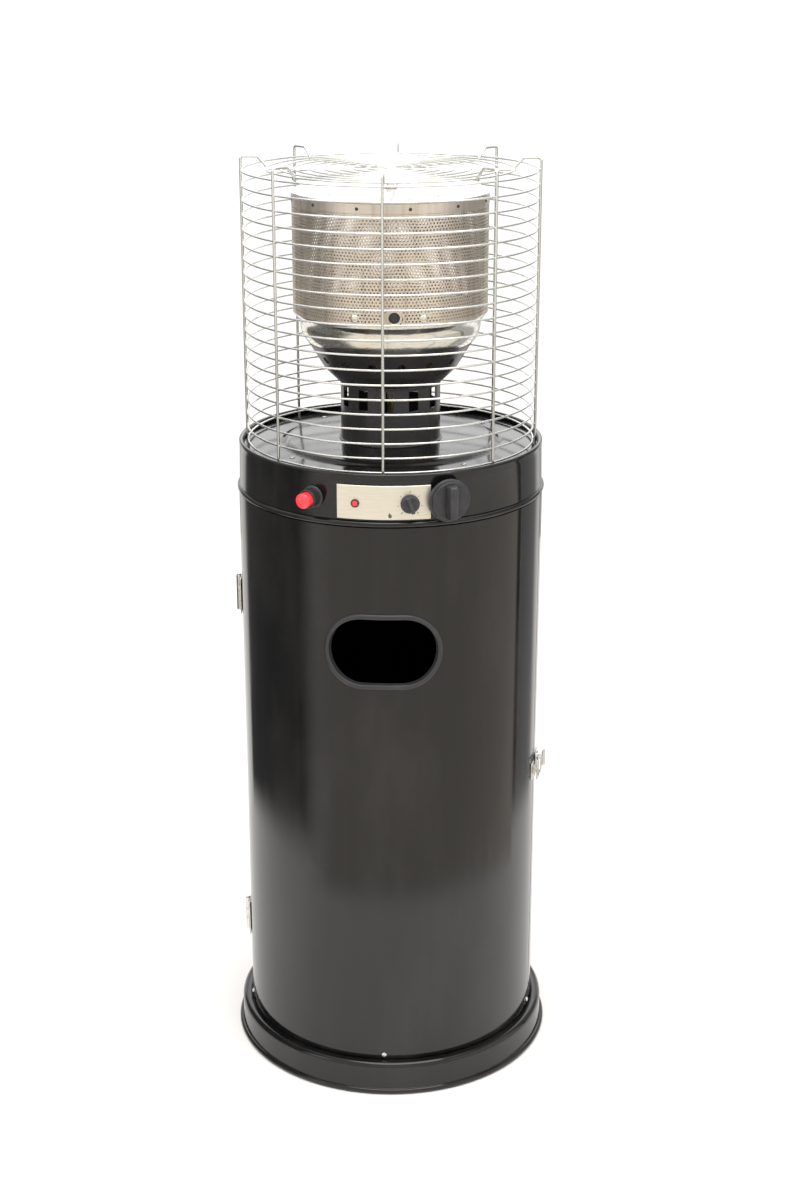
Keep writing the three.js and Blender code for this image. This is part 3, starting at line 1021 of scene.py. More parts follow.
@dataclass(frozen=True)
class PrintedMark(Finish):
    """Dark printing ink, worn thin in places."""

    colour: Triple = (0.05, 0.045, 0.04)
    worn: Triple = (0.30, 0.28, 0.24)
    slot = "black_plastic"

    def make(self) -> bpy.types.Material:
        """Puts the material together."""
        s = Shade("printed_mark")
        wear = s.noise(900, 3).fade(0.5, 0.75)
        colour = s.blend(wear * 0.6, self.colour, self.worn)
        return s.finish(Base_Color=colour, Roughness=0.5 + wear * 0.2)


# ---------------------------------------------------------------- sub-assemblies


@dataclass
class Assembly:
    """A sub-assembly. build models its pieces, and dress gives them and the kept CAD nodes finishes."""

    made: list[tuple[Piece, Finish]] = field(default_factory=list, init=False)

    @property
    def kept(self) -> dict[str, Finish]:
        """Gives the CAD nodes that stay in sight, with their finishes."""
        return {}

    def build(self) -> None:
        """Models the pieces."""

    def take(self, piece: Piece, body: str, finish: Finish, *nodes: str) -> Piece:
        """Hangs a finished piece on its body, hides the CAD nodes that it stands for and keeps it for
        dressing.

        Args:
            piece: The piece.
            body: The body that it rides on.
            finish: Its finish.
            *nodes: The CAD nodes that it replaces.

        Returns:
            The piece.
        """
        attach(piece.object, body)
        if nodes:
            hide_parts(*nodes)
        self.made.append((piece, finish))
        LOG.info("%s: %d faces", piece.object.name, len(piece.object.data.polygons))
        return piece

    def dress(self) -> None:
        """Gives every piece and every kept CAD node its finish."""
        for piece, finish in self.made:
            piece.object.data.materials.clear()
            piece.object.data.materials.append(finish.material())
        for name, finish in self.kept.items():
            for material_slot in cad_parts[name].material_slots:
                material_slot.material = finish.material()


def screw_head(name: str, radius: float, height: float, recess: bool = True) -> Piece:
    """Models a pan-head screw that points along +X from the origin.

    Args:
        name: The piece's name.
        radius: The head's radius.
        height: The head's height.
        recess: Whether it has a cross recess.

    Returns:
        The screw.
    """
    crown = [(radius * math.cos(a), height * (0.35 + 0.65 * math.sin(a))) for a in (0.0, 0.4, 0.8, 1.2)]
    head = Piece.turned(name, [(0, -1.5), (radius * 0.45, -1.5), (radius * 0.45, 0), (radius, 0), *crown,
                               (0, height)], 20)
    if recess:
        for turned_by in (0, 90):
            slot = Piece.block("slot", (-radius * 0.62, -radius * 0.11, height * 0.45),
                               (radius * 0.62, radius * 0.11, height * 2))
            head.cut(slot.turn((0, 0, turned_by + 20)))
    return head.turn((0, 90, 0)).smooth(35)


@dataclass
class Base(Assembly):
    """The pressed steel base with its rolled foot, and the screws above it."""

    wall: float = 237
    shoulder: float = 9
    bead: float = 4.2
    lid: float = 2
    foot: float = 234.6
    screw_azimuths: Sequence[float] = (0, -78, 76)

    def build(self) -> None:
        """Models the base and its screws."""
        low, high = place("base_plate")
        rim, top = high.x, high.z
        bead = arc((rim - self.bead, self.bead), self.bead, -90, 90, 8)
        bend = arc((self.wall - self.shoulder, top - self.shoulder), self.shoulder, 0, 90, 8)
        inner = arc((self.wall - self.shoulder, top - self.shoulder), self.shoulder - self.lid, 90, 0, 6)
        neck = arc((self.wall + 1.6, 2 * self.bead + 1.2), 1.6, -90, -180, 4)
        profile = [(0, top - self.lid), *inner, (self.foot, low.z), *bead, *neck, *bend,
                   (223.5, top), (222.4, top - 0.6), (0, top - 0.6)]
        self.take(Piece.turned("base", profile, 288).smooth(), "cabinet", BlackEnamel(Sheen.PRESSED),
                  "base_plate")
        for number, azimuth in enumerate(self.screw_azimuths, 1):
            node = f"base_screw_{number}"
            low, high = place(node)
            head = screw_head(f"foot_screw_{number}", 4, 2.4)
            head.shift((221.3, 0, 0)).stand(azimuth, (low.z + high.z) / 2)
            self.take(head, "cabinet", PlatedFittings(), node)


@dataclass
class Cabinet(Assembly):
    """The front shell with its hand hole and edging, and the rear door."""

    outer: float = 221
    ease: float = 0.35
    wall: float = 1.2
    seam: float = 0.3
    hinge_azimuth: float = -88
    latch_azimuth: float = 79
    hole: Pair = (159, 101)
    lip: Pair = (154, 96)
    rim: float = 7.6
    proud: float = 3.4

    @property
    def kept(self) -> dict[str, Finish]:
        """Gives the inner steelwork."""
        return {name: BlackEnamel(Sheen.PRESSED) for name in ("base_ring", "left_post", "right_post")}

    def _sheet(self, name: str, low: float, high: float, start: float, end: float) -> Piece:
        """Rolls a sheet between two azimuths.

        Args:
            name: The piece's name.
            low: Its lowest height.
            high: Its highest height.
            start: First azimuth.
            end: Last azimuth.

        Returns:
            The sheet.
        """
        outer, ease = self.outer, self.ease
        section = [(outer - self.wall, low), (outer - ease, low), (outer, low + ease), (outer, high - ease),
                   (outer - ease, high), (outer - self.wall, high)]
        return Piece.turned(name, section, round(end - start), True, start, end)

    def build(self) -> None:
        """Models the shell, the edging and the door."""
        low, high = place("front_shell")
        bezel_low, bezel_high = place("hand_hole_bezel")
        z = (bezel_low.z + bezel_high.z) / 2
        shell = self._sheet("front_panel", low.z, high.z, self.hinge_azimuth + self.seam,
                            self.latch_azimuth - self.seam)
        shell.cut(Piece.obround("opening", *self.hole, z, -240, -190)).smooth()
        self.take(shell, "cabinet", BlackEnamel(), "front_shell")

        low, high = place("rear_door")
        door = self._sheet("door_panel", low.z, high.z, self.latch_azimuth + self.seam,
                           self.hinge_azimuth + 360 - self.seam).smooth()
        self.take(door, "door", BlackEnamel(), "rear_door")
        self._edging(z)

    def _edging(self, z: float) -> None:
        """Models the moulded edging of the hand hole.

        Args:
            z: Height of the hole's middle.
        """
        width, height = self.lip
        r, half = height / 2, (width - height) / 2
        face = 221.3
        top = face + self.proud
        section = [(r, face - 6), (r, top - 3.2), *arc((r + 2.4, top - 2.4), 2.4, 180, 100, 4),
                   (r + 3.4, top + 0.1), *arc((r + self.rim - 3.4, top - 3.4), 3.4, 80, 0, 5),
                   (r + self.rim, face), (r + 2, face), (r + 2, face - 6)]
        points = [(half, -depth, z + rho) for rho, depth in section]
        ring = Piece.outline("hand_hole_edging", points, True)
        ring.edit()
        steps = 10
        for end in (1, -1):
            Piece.sweep(180, (end * half, 0, z), (0, 1, 0), 32)
            for _ in range(steps):
                bpy.ops.mesh.extrude_region_move(
                    TRANSFORM_OT_translate={"value": (-end * 2 * half / steps * MM, 0, 0)})
        ring.tidy().wrap(face).tidy().smooth(40)
        self.take(ring, "cabinet", BlackPlastic(), "hand_hole_bezel")


@dataclass
class Hinges(Assembly):
    """The two plated butt hinges on the left seam."""

    azimuth: float = -88
    pivot: float = 226
    knuckle: float = 4.2
    face: float = 221.3
    sheet: float = 1.5
    leaf: float = 24
    screws: Sequence[float] = (-17, 17)

    @property
    def kept(self) -> dict[str, Finish]:
        """Gives the pins."""
        return {f"{level}_hinge_pin": PlatedFittings() for level in ("upper", "lower")}

    def _leaf(self, name: str, side: int, knuckles: Sequence[Pair], height: float) -> Piece:
        """Models a leaf in its own frame, with +X outwards.

        Args:
            name: The piece's name.
            side: 1 for the fixed leaf and -1 for the door's.
            knuckles: Height ranges of its knuckles.
            height: The hinge's height.

        Returns:
            The leaf.
        """
        near, far = self.knuckle + 1, self.leaf
        y0, y1 = (near, far) if side > 0 else (-far, -near)
        plate = Piece.block(name, (self.face, y0, -height / 2), (self.face + self.sheet, y1, height / 2))
        plate.soften(0.35, 2)
        for z0, z1 in knuckles:
            strap = Piece.block("strap", (self.face, min(0, side * near), z0),
                                (self.face + self.sheet, max(0, side * (near + 1)), z1), 0.15, 1)
            barrel = Piece.turned("barrel", [(2.2, z0), (self.knuckle - 0.4, z0), (self.knuckle, z0 + 0.4),
                                             (self.knuckle, z1 - 0.4), (self.knuckle - 0.4, z1), (2.2, z1)],
                                  28, True).shift((self.pivot, 0, 0))
            plate.join(strap, barrel)
        for z in self.screws:
            head = screw_head("head", 3.6, 1.9).shift((self.face + self.sheet, side * (near + far) / 2, z))
            plate.join(head)
        return plate.smooth(35)

    def build(self) -> None:
        """Models both hinges."""
        for level in ("upper", "lower"):
            low, high = place(f"{level}_hinge_leaf")
            height = high.z - low.z
            middle = (low.z + high.z) / 2
            third = height / 6
            fixed = self._leaf(f"{level}_fixed_leaf", 1,
                               [(-height / 2, -third - 0.2), (third + 0.2, height / 2)], height)
            self.take(fixed.stand(self.azimuth, middle), "cabinet", PlatedFittings(), f"{level}_hinge_leaf")
            moving = self._leaf(f"{level}_door_leaf", -1, [(-third + 0.2, third - 0.2)], height)
            self.take(moving.stand(self.azimuth, middle), "door", PlatedFittings(),
                      f"{level}_hinge_door_leaf")


@dataclass
class ToggleLatch(Assembly):
    """The plated toggle latch on the right seam: base, lever, bail and keeper."""

    azimuth: float = 84.5
    keeper_azimuth: float = 75.8
    pivot: Pair = (226, -11)
    bail_pivot: Pair = (228.2, -5)
    cross: Pair = (226.8, -34)
    face: float = 221.3
    sheet: float = 1.5

    def build(self) -> None:
        """Models the latch."""
        low, high = place("latch_base")
        z = (low.z + high.z) / 2
        face, sheet = self.face, self.sheet
        px, py = self.pivot

        base = Piece.block("latch_plate", (face, -16, -17), (face + sheet, 16, 17)).soften(0.5, 2)
        for side in (-1, 1):
            z0, z1 = sorted((side * 9.5, side * 11))
            ear = Piece.block("ear", (face + 0.4, py - 2.6, z0), (px, py + 2.6, z1), 0.2, 1)
            eye = Piece.turned("eye", [(1.9, z0), (2.9, z0), (2.9, z1), (1.9, z1)], 24, True)
            eye.shift((px, py, 0))
            base.join(ear, eye)
        for screw_z in (-12.5, 12.5):
            base.join(screw_head("head", 3.2, 1.8).shift((face + sheet, 9.5, screw_z)))
        self.take(base.smooth(35).stand(self.azimuth, z), "door", PlatedFittings(), "latch_base")

        self.take(self._lever().stand(self.azimuth, z), "latch_lever", PlatedFittings(), "latch_lever")
        self.take(self._bail().turn((0, 0, self.azimuth - 90)).shift((0, 0, z)), "latch_bail",
                  PlatedFittings(), "latch_bail")

        keeper = Piece.block("latch_catch", (face, -9, -13), (face + sheet, 9, 13)).soften(0.5, 2)
        hook = Piece.block("hook", (face + 0.4, 2.3, -8), (face + 5.3, 3.7, 8), 0.3, 2)
        tip = Piece.block("tip", (face + 4.2, 0.6, -8), (face + 5.3, 3.2, 8), 0.4, 2)
        keeper.join(hook, tip)
        for screw_z in (-10, 10):
            keeper.join(screw_head("head", 2.6, 1.5).shift((face + sheet, -4.5, screw_z)))
        self.take(keeper.smooth(35).stand(self.keeper_azimuth, z), "cabinet", PlatedFittings(),
                  "latch_keeper")

    def _lever(self) -> Piece:
        """Models the lever: a ribbed plate with a flared tip, two cheeks and its rod."""
        px, py = self.pivot
        flare = [(px + 5, py - 1), (px + 5, py + 24.5), (px + 6.2, py + 26.8), (px + 9.4, py + 29.2),
                 (px + 8.9, py + 30.8), (px + 5.4, py + 28.6), (px + 3.6, py + 25.4), (px + 3.6, py - 1)]
        lever = Piece.outline("latch_handle", [(x, y, -13) for x, y in flare], True, True)
        lever.edit()
        bpy.ops.mesh.extrude_region_move(TRANSFORM_OT_translate={"value": (0, 0, 26 * MM)})
        lever.tidy().soften(0.35, 2)
        for ridge in (-6.5, 0, 6.5):
            lever.join(Piece.block("ridge", (px + 4.6, py + 3, ridge - 1.1),
                                   (px + 5.8, py + 25, ridge + 1.1), 0.5, 2))
        for side in (-1, 1):
            z0, z1 = sorted((side * 11.5, side * 13))
            lever.join(Piece.block("cheek", (px - 2, py - 1, z0), (px + 4.4, py + 10, z1), 0.4, 2))
            lever.join(Piece.turned("boss", [(0, z0), (2.4, z0), (2.6, z0 + 0.2), (2.6, z1 - 0.2), (2.4, z1),
                                             (0, z1)], 24).shift((px, py, 0)))
        rod = Piece.turned("rod", [(0, -12.5), (1.6, -12.5), (1.6, 12.5), (0, 12.5)], 20).shift((px, py, 0))
        return lever.join(rod).smooth(35)

    def _bail(self) -> Piece:
        """Models the wire bail, from one end in the lever's cheek to the other."""
        x0, y0 = self.bail_pivot
        x1, y1 = self.cross
        arm, bend = 14.8, 2.5
        run = Vector((x1 - x0, y1 - y0, 0))
        along = run.normalized()
        wire = WireBender("latch_wire", 1.2, (x0, y0, -10.8), (0, 0, -1))
        wire.straight(arm - 10.8 - bend).bend(bend, 90, along, 5)
        wire.straight(run.length - 2 * bend).bend(bend, 90, (0, 0, 1), 5)
        wire.straight(2 * (arm - bend)).bend(bend, 90, -along, 5)
        wire.straight(run.length - 2 * bend).bend(bend, 90, (0, 0, -1), 5)
        return wire.straight(arm - 10.8 - bend).done()


@dataclass
class Collar(Assembly):
    """The band above the cabinet, the plate inside it and the control panel with its marks."""

    wall: float = 220
    rim_wall: float = 218.8
    rim: float = 3.5
    rim_centre: float = 215.8
    bead: float = 223.3
    sheet: float = 1.2
    panel: Pair = (-16.3, 17)
    panel_faces: Pair = (220.3, 221.8)
    step: Pair = (162, 146)
    screw_azimuths: Sequence[float] = (39, -51, 129, 219)
    dial: Pair = (9.6, 912)

    def build(self) -> None:
        """Models the band, the plate, its screws and the panel."""
        low, high = place("collar_band")
        z, top = low.z, high.z
        centre = top - self.rim
        foot = arc((self.bead - 4, z + 4), 4, -90, 90, 10)
        rim = arc((self.rim_centre, centre), self.rim, -20, 262, 20)
        outside = [(self.wall - self.sheet, z), *foot, (self.wall, z + 9.2), (self.wall - 0.15, z + 14),
                   (self.rim_wall, centre - 9)]
        band = [*outside, *rim, (self.rim_wall - self.sheet, centre - 8)]
        self.take(Piece.turned("collar", band, 288, True).smooth(), "cabinet", BlackEnamel(Sheen.PRESSED),
                  "collar_band")

        low, high = place("top_plate")
        floor, crest = low.z, high.z
        foot, head = self.step
        rise = crest - floor - self.sheet
        chords = 10
        slope = [(foot + (head - foot) * i / chords,
                  floor + self.sheet + rise * (0.5 - 0.5 * math.cos(math.pi * i / chords)))
                 for i in range(chords + 1)]
        below = [(r, height - self.sheet) for r, height in reversed(slope)]
        plate = [(60, crest - self.sheet), *below, (high.x, floor), (high.x, floor + self.sheet), *slope,
                 (60, crest)]
        self.take(Piece.turned("top_tray", plate, 288, True).smooth(), "cabinet",
                  BlackEnamel(Sheen.PRESSED), "top_plate")
        for number, azimuth in enumerate(self.screw_azimuths, 1):
            head = screw_head(f"tray_screw_{number}", 3.4, 1.8).turn((0, -90, 0))
            head.shift(polar(azimuth, 171, floor + self.sheet))
            self.take(head, "cabinet", PlatedFittings())
        self._panel()

    def _panel(self) -> None:
        """Models the control panel and the marks printed round its small knob."""
        low, high = place("control_panel")
        inner, outer = self.panel_faces
        ease = 0.4
        section = [(inner, low.z), (outer - ease, low.z), (outer, low.z + ease), (outer, high.z - ease),
                   (outer - ease, high.z), (inner, high.z)]
        plate = Piece.turned("panel", section, 34, True, *self.panel)
        self.take(plate.smooth(), "cabinet", PanelPlate(), "control_panel")
        azimuth, middle = self.dial
        x0 = math.radians(azimuth) * outer
        marks: list[Piece] = []
        for turned_by, length, width in ((0, 3.2, 0.9), (-50, 2.4, 0.6), (50, 2.4, 0.6), (-100, 2.4, 0.6),
                                         (100, 2.4, 0.6), (-140, 3.2, 0.9), (140, 3.2, 0.9)):
            mark = Piece.block("panel_marks", (-width / 2, -0.08, 15.2), (width / 2, 0.05, 15.2 + length))
            mark.soften(0.03, 1)
            marks.append(mark.turn((0, turned_by, 0)).shift((x0, -outer, middle)))
        flame = [(0, 0), (2.1, 1.3), (2.5, 3.6), (0.9, 6.4), (0.5, 4.6), (-0.7, 8.2), (-2.6, 4.2),
                 (-2.2, 1.4)]
        corners = [(x0 - 27 + x, -outer - 0.08, middle - 20 + y) for x, y in flame]
        low_flame = Piece.outline("flame", corners, True, True)
        low_flame.edit()
        bpy.ops.mesh.extrude_region_move(TRANSFORM_OT_translate={"value": (0, 0.13 * MM, 0)})
        printed = marks[0].join(*marks[1:], low_flame.tidy())
        self.take(printed.wrap(outer), "cabinet", PrintedMark())


@dataclass
class Controls(Assembly):
    """The lamp, the small knob, the igniter button and the big gas knob."""

    lamp_azimuth: float = -9.7
    setting_azimuth: float = 9.6
    igniter_azimuth: float = -25.8
    gas_azimuth: float = 23.2
    controls_z: float = 915
    panel_face: float = 222.1
    gas_back: float = 226.5

    @property
    def kept(self) -> dict[str, Finish]:
        """Gives what is behind the controls."""
        return {"setting_switch": BlackPlastic(), "igniter_body": BlackPlastic(),
                "gas_spindle": PlatedFittings(), "gas_valve": Brass(), "hose_spigot": Brass()}

    def _round(self, name: str, profile: Sequence[Pair], steps: int = 48, closed: bool = False) -> Piece:
        """Turns a profile of radius and distance outwards about X.

        Args:
            name: The piece's name.
            profile: Radius and distance pairs.
            steps: Number of strips.
            closed: Whether it is a ring's section.

        Returns:
            The piece.
        """
        return Piece.turned(name, profile, steps, closed).turn((0, 90, 0))

    def build(self) -> None:
        """Models the controls."""
        self._lamp()
        self._setting_knob()
        self._igniter()
        self._gas_knob()

    def _lamp(self) -> None:
        """Models the pilot lamp."""
        low, high = place("lamp_bezel")
        z = (low.z + high.z) / 2
        f = self.panel_face
        ring = self._round("lamp_ring", [(4.3, f - 0.2), (5.8, f - 0.2), (5.8, f + 1.2),
                                         *arc((5.05, f + 1.25), 0.75, 0, 180, 6)], 40, True)
        self.take(ring.smooth(40).stand(self.lamp_azimuth, z), "cabinet", BlackPlastic(), "lamp_bezel")
        lens = self._round("lamp_jewel", [
            (0, f - 8), (4, f - 8), (4, f + 1.6), (3.6, f + 2.4), (2.9, f + 2.7), (2.5, f + 3.3),
            (1.4, f + 3.6), (0, f + 3.6)], 32)
        self.take(lens.smooth(40).stand(self.lamp_azimuth, z), "cabinet", RedPlastic(), "lamp_lens")

    def _setting_knob(self) -> None:
        """Models the small knob, fluted round its edge, with a slanted grip."""
        low, high = place("setting_knob")
        z = (low.z + high.z) / 2
        back = self.panel_face + 0.9
        knob = self._round("heat_knob", [
            (0, 217.3), (3, 217.3), (3, back), (13, back), (13, back + 1.6), (12.2, back + 2.2),
            (11.8, back + 5.4), (11, back + 6.6), (9.6, back + 7), (0, back + 7)], 72)
        axis_free = 11 * MM
        knob.pick(lambda v: math.hypot(v.co.y, v.co.z) > axis_free and v.co.x > (back + 1.9) * MM
                  and round(math.degrees(math.atan2(v.co.z, v.co.y)) / 5) % 2 == 0)
        bpy.ops.transform.resize(value=(1, 0.955, 0.955), center_override=(0, 0, 0))
        knob.leave()
        grip = Piece.block("grip", (back + 5, -2.7, -11.4), (back + 13, 2.7, 11.4), 1.2, 3)
        pointer = Piece.block("pointer", (back + 12.4, -0.45, 2), (back + 13.25, 0.45, 10.6), 0.2, 1)
        knob.join(grip.join(pointer).turn((18, 0, 0)))
        self.take(knob.smooth(28).stand(self.setting_azimuth, z), "setting_knob", BlackPlastic(),
                  "setting_knob")

    def _igniter(self) -> None:
        """Models the igniter's collar and its red button."""
        f = 220.3
        ring = self._round("igniter_ring", [
            (11, f), (15.5, f), (15.5, f + 1.6), (14.6, f + 2.6), (13.1, f + 3), (13, f + 15),
            *arc((12.1, f + 16.8), 0.9, 0, 180, 6), (11, f + 15)], 56, True)
        self.take(ring.smooth(35).stand(self.igniter_azimuth, self.controls_z), "cabinet", BlackPlastic(),
                  "igniter_collar")
        button = self._round("igniter_cap", [
            (0, 226), (5, 226), (5, 231), (10.3, 231), (10.5, 232), (10.5, 246.2),
            *arc((9.0, 247.6), 1.5, 0, 75, 5), (8.2, 249.4), (5, 249.9), (0, 250)], 48)
        self.take(button.smooth(35).stand(self.igniter_azimuth, self.controls_z), "igniter_button",
                  RedPlastic(), "igniter_button")

    def _gas_knob(self) -> None:
        """Models the big knob: a skirt, a disc and a wide crowned grip."""
        back = self.gas_back
        knob = self._round("gas_dial", [
            (0, back + 0.6), (26, back + 0.6), (26.5, back), (29.6, back), (30, back + 0.6),
            (30, back + 3.4), (29.2, back + 4.6), (27.4, back + 5.2), (27, back + 7.6),
            *arc((25.4, back + 7.6), 1.6, 0, 90, 5), (20, back + 9.3), (0, back + 9.4)], 96)
        grip = Piece.block("grip", (back + 7, -8.4, -24), (back + 22.5, 8.4, 24))
        grip.pick(lambda v: v.co.x > (back + 20) * MM)
        bpy.ops.transform.resize(value=(1, 0.66, 0.93), center_override=(0, 0, 0))
        grip.leave().soften(3.0, 5)
        pointer = Piece.block("pointer", (back + 21.6, -0.7, 8), (back + 22.75, 0.7, 21), 0.3, 2)
        knob.join(grip, pointer)
        self.take(knob.smooth(30).stand(self.gas_azimuth, self.controls_z), "gas_knob", BlackPlastic(),
                  "gas_knob")


@dataclass
class GasTrain(Assembly):
    """The valve's pipes, the burner and its pilot, which stay as the CAD made them."""

    brass: Sequence[str] = ("gas_pipe", "injector", "pilot_tube", "thermocouple_lead")
    plastic: Sequence[str] = ("ignition_lead", "tilt_switch")
    steel: Sequence[str] = ("pilot_burner", "thermocouple")

    @property
    def kept(self) -> dict[str, Finish]:
        """Gives the gas train with its finishes."""
        found: dict[str, Finish] = {name: Brass() for name in self.brass}
        found.update({name: BlackPlastic() for name in self.plastic})
        found.update({name: PlatedFittings() for name in self.steel})
        found.update({"burner_head": CastIron(), "electrode": Ceramic()})
        return found


@dataclass
class Emitter(Assembly):
    """The vented neck, the pan, the polished bowl, the perforated screen, its band and its cap."""

    neck: float = 71.6
    sheet: float = 1.2
    vents: int = 12
    vent: Triple = (15, 1002, 1031)
    air_holes: int = 16
    air_hole: float = 5.7
    radius: float = 138
    holes_round: int = 174
    hole: float = 1.52
    plain: Pair = (5.5, 4.0)
    sight: Triple = (5, 1148, 8.6)
    studs: Sequence[float] = (-18, 22)
    rivets: int = 12
    first_rivet: float = -16

    def build(self) -> None:
        """Models the neck and what stands on it."""
        self._neck()
        self._pan()
        self._screen()
        self._top()

    def _neck(self) -> None:
        """Models the neck with its vents."""
        low, high = place("neck_tube")
        foot, top, r = low.z, high.z, self.neck
        section = [(r - self.sheet, foot), (r + 2.7, foot), (r + 2.9, foot + 0.5),
                   *arc((r + 2.9, foot + 3.4), 2.9, -90, -180, 6), (r, top), (r - self.sheet, top)]
        neck = Piece.turned("neck", section, 144, True)
        width, z0, z1 = self.vent
        cutter: Piece | None = None
        for number in range(self.vents // 2):
            slot = Piece.block("vent", (-width / 2, -90, z0), (width / 2, 90, z1))
            slot.turn((0, 0, number * 360 / self.vents))
            cutter = slot if cutter is None else cutter.fuse(slot)
        neck.cut(cutter).smooth()
        self.take(neck, "cabinet", BlackEnamel(Sheen.HEATED), "neck_tube")
        seam = Piece.turned("neck_clip", [(r + 0.2, top - 3.2), (r + 1.6, top - 3.0), (r + 2.0, top - 1.6),
                                          (r + 1.6, top - 0.3), (r + 0.2, top - 0.2)], 144, True)
        self.take(seam.smooth(), "cabinet", BlackEnamel(Sheen.HEATED))

    def _pan(self) -> None:
        """Models the black pan with its air holes, and the bowl."""
        low, high = place("burner_pan")
        z = low.z
        outer = [(48, z), (74, z), *arc((74.5, z + 4), 4, -80, -40, 3), (92.5, z + 16), (95, z + 19),
                 (117, z + 54.6), (118.2, z + 56)]
        inner = [(117.0, z + 56.3), (93.6, z + 19.6), (91.6, z + 17), (76.5, z + 2.6), (74, z + 1.2),
                 (48, z + 1.2)]
        pan = Piece.turned("pan", [*outer, *inner], 144, True)
        tilt = math.degrees(math.atan2(25.5, 40))
        cutter: Piece | None = None
        for number in range(self.air_holes):
            drill = Piece.bar("drill", self.air_hole, 84, 128, 0, 24)
            drill.shift((-105, 0, 0)).turn((0, tilt, 0)).shift((105, 0, 0))
            drill.stand((number + 0.5) * 360 / self.air_holes, z + 36)
            cutter = drill if cutter is None else cutter.join(drill)
        self.take(pan.cut(cutter).smooth(), "cabinet", BlackEnamel(Sheen.HEATED), "burner_pan")

        low, high = place("reflector_bowl")
        z, top, r = low.z, high.z, self.radius
        outer = [(118.3, z), (121.4, z + 3), (123.5, z + 7), (125.6, z + 11), (127, z + 15),
                 (127.9, z + 20), (128.2, z + 25), (129.2, z + 28.6), (131, z + 32), (134.2, z + 36.6),
                 (r, z + 41.5), (r, top)]
        inner = [(r - 1.2, top), (r - 1.2, z + 42), (133.1, z + 37.4), (129.9, z + 32.8), (128, z + 29.2),
                 (127, z + 25), (126.7, z + 20), (125.7, z + 15.4), (124.3, z + 11.4), (122.2, z + 7.6),
                 (117.2, z + 1)]
        bowl = Piece.turned("bowl", [*outer, *inner], 192, True)
        self.take(bowl.smooth(40), "cabinet", PolishedSteel(), "reflector_bowl")

    def _screen(self) -> None:
        """Models the perforated screen: a staggered lattice whose vertices open into holes."""
        low, high = place("emitter_screen")
        r, count = self.radius - 0.1, self.holes_round
        pitch = 2 * math.pi * r / count
        row = pitch * math.sqrt(3) / 2
        first, last = low.z + self.plain[0], high.z - self.plain[1]
        rows = int((last - first) / row)
        row = (last - first) / rows
        Piece.clear()
        bpy.ops.mesh.primitive_circle_add(vertices=count, radius=r * MM, fill_type="NOTHING",
                                          location=(0, 0, low.z * MM))
        screen = Piece("screen")
        screen.edit()
        heights = [self.plain[0], *[row] * rows, self.plain[1]]
        for rise in heights:
            bpy.ops.mesh.extrude_region_move(TRANSFORM_OT_translate={"value": (0, 0, rise * MM)})
            bpy.ops.transform.rotate(value=math.pi / count, orient_axis="Z", center_override=(0, 0, 0))
        bpy.ops.mesh.select_all(action="SELECT")
        bpy.ops.mesh.quads_convert_to_tris(quad_method="SHORTEST_DIAGONAL")
        bpy.ops.mesh.normals_make_consistent(inside=False)
        azimuth, sight_z, sight_r = self.sight
        eye = polar(azimuth, r, sight_z) * MM
        screen.pick(lambda v: (v.co - eye).length < (sight_r + 0.6) * MM)
        bpy.ops.mesh.delete(type="VERT")
        margin = 1.0 * MM
        z0, z1 = low.z * MM + margin, high.z * MM - margin
        near = (sight_r + 2.4) * MM
        screen.pick(lambda v: z0 < v.co.z < z1 and (v.co - eye).length > near)
        bpy.ops.mesh.bevel(offset=self.hole * MM, segments=1, affect="VERTICES")
        bpy.ops.object.mode_set(mode="OBJECT")
        mesh = screen.object.data
        span = self.hole * 1.07 * MM
        small = {f.index for f in mesh.polygons if len(f.vertices) >= 5 and all(
            (mesh.vertices[v].co - f.center).length < span for v in f.vertices)}
        screen.edit()
        bpy.ops.mesh.select_mode(type="FACE")
        bpy.ops.mesh.select_all(action="DESELECT")
        bpy.ops.object.mode_set(mode="OBJECT")
        for polygon in mesh.polygons:
            polygon.select = polygon.index in small
        bpy.ops.object.mode_set(mode="EDIT")
        bpy.ops.mesh.delete(type="FACE")
        screen.leave().thicken(0.7).smooth(40)
        LOG.info("holes opened: %d", len(small))
        self.take(screen, "cabinet", PerforatedSteel(), "emitter_screen")

        collar = Piece.turned("sight_ring", [
            (sight_r - 0.8, -3.4), (sight_r + 2.6, -3.4), (sight_r + 2.6, 0), (sight_r + 2.2, 0.5),
            (sight_r - 0.4, 0.5), (sight_r - 0.8, 0.1)], 40, True)
        collar.turn((0, 90, 0)).shift((self.radius, 0, 0)).stand(azimuth, sight_z).smooth(40)
        self.take(collar, "cabinet", PerforatedSteel())
        glass = Piece.turned("sight_glass", [
            (0, -4.8), (sight_r + 2.2, -4.8), (sight_r + 2.2, -3.3), (sight_r - 0.9, -3.1), (0, -2.4)], 40)
        glass.turn((0, 90, 0)).shift((self.radius, 0, 0)).stand(azimuth, sight_z).smooth(40)
        self.take(glass, "cabinet", BlackEnamel(Sheen.HEATED))
        studs = [screw_head("screen_studs", 5.5, 2, False).shift((r, 0, 0)).stand(at, sight_z - 2)
                 for at in self.studs]
        self.take(studs[0].join(*studs[1:]), "cabinet", PolishedSteel())

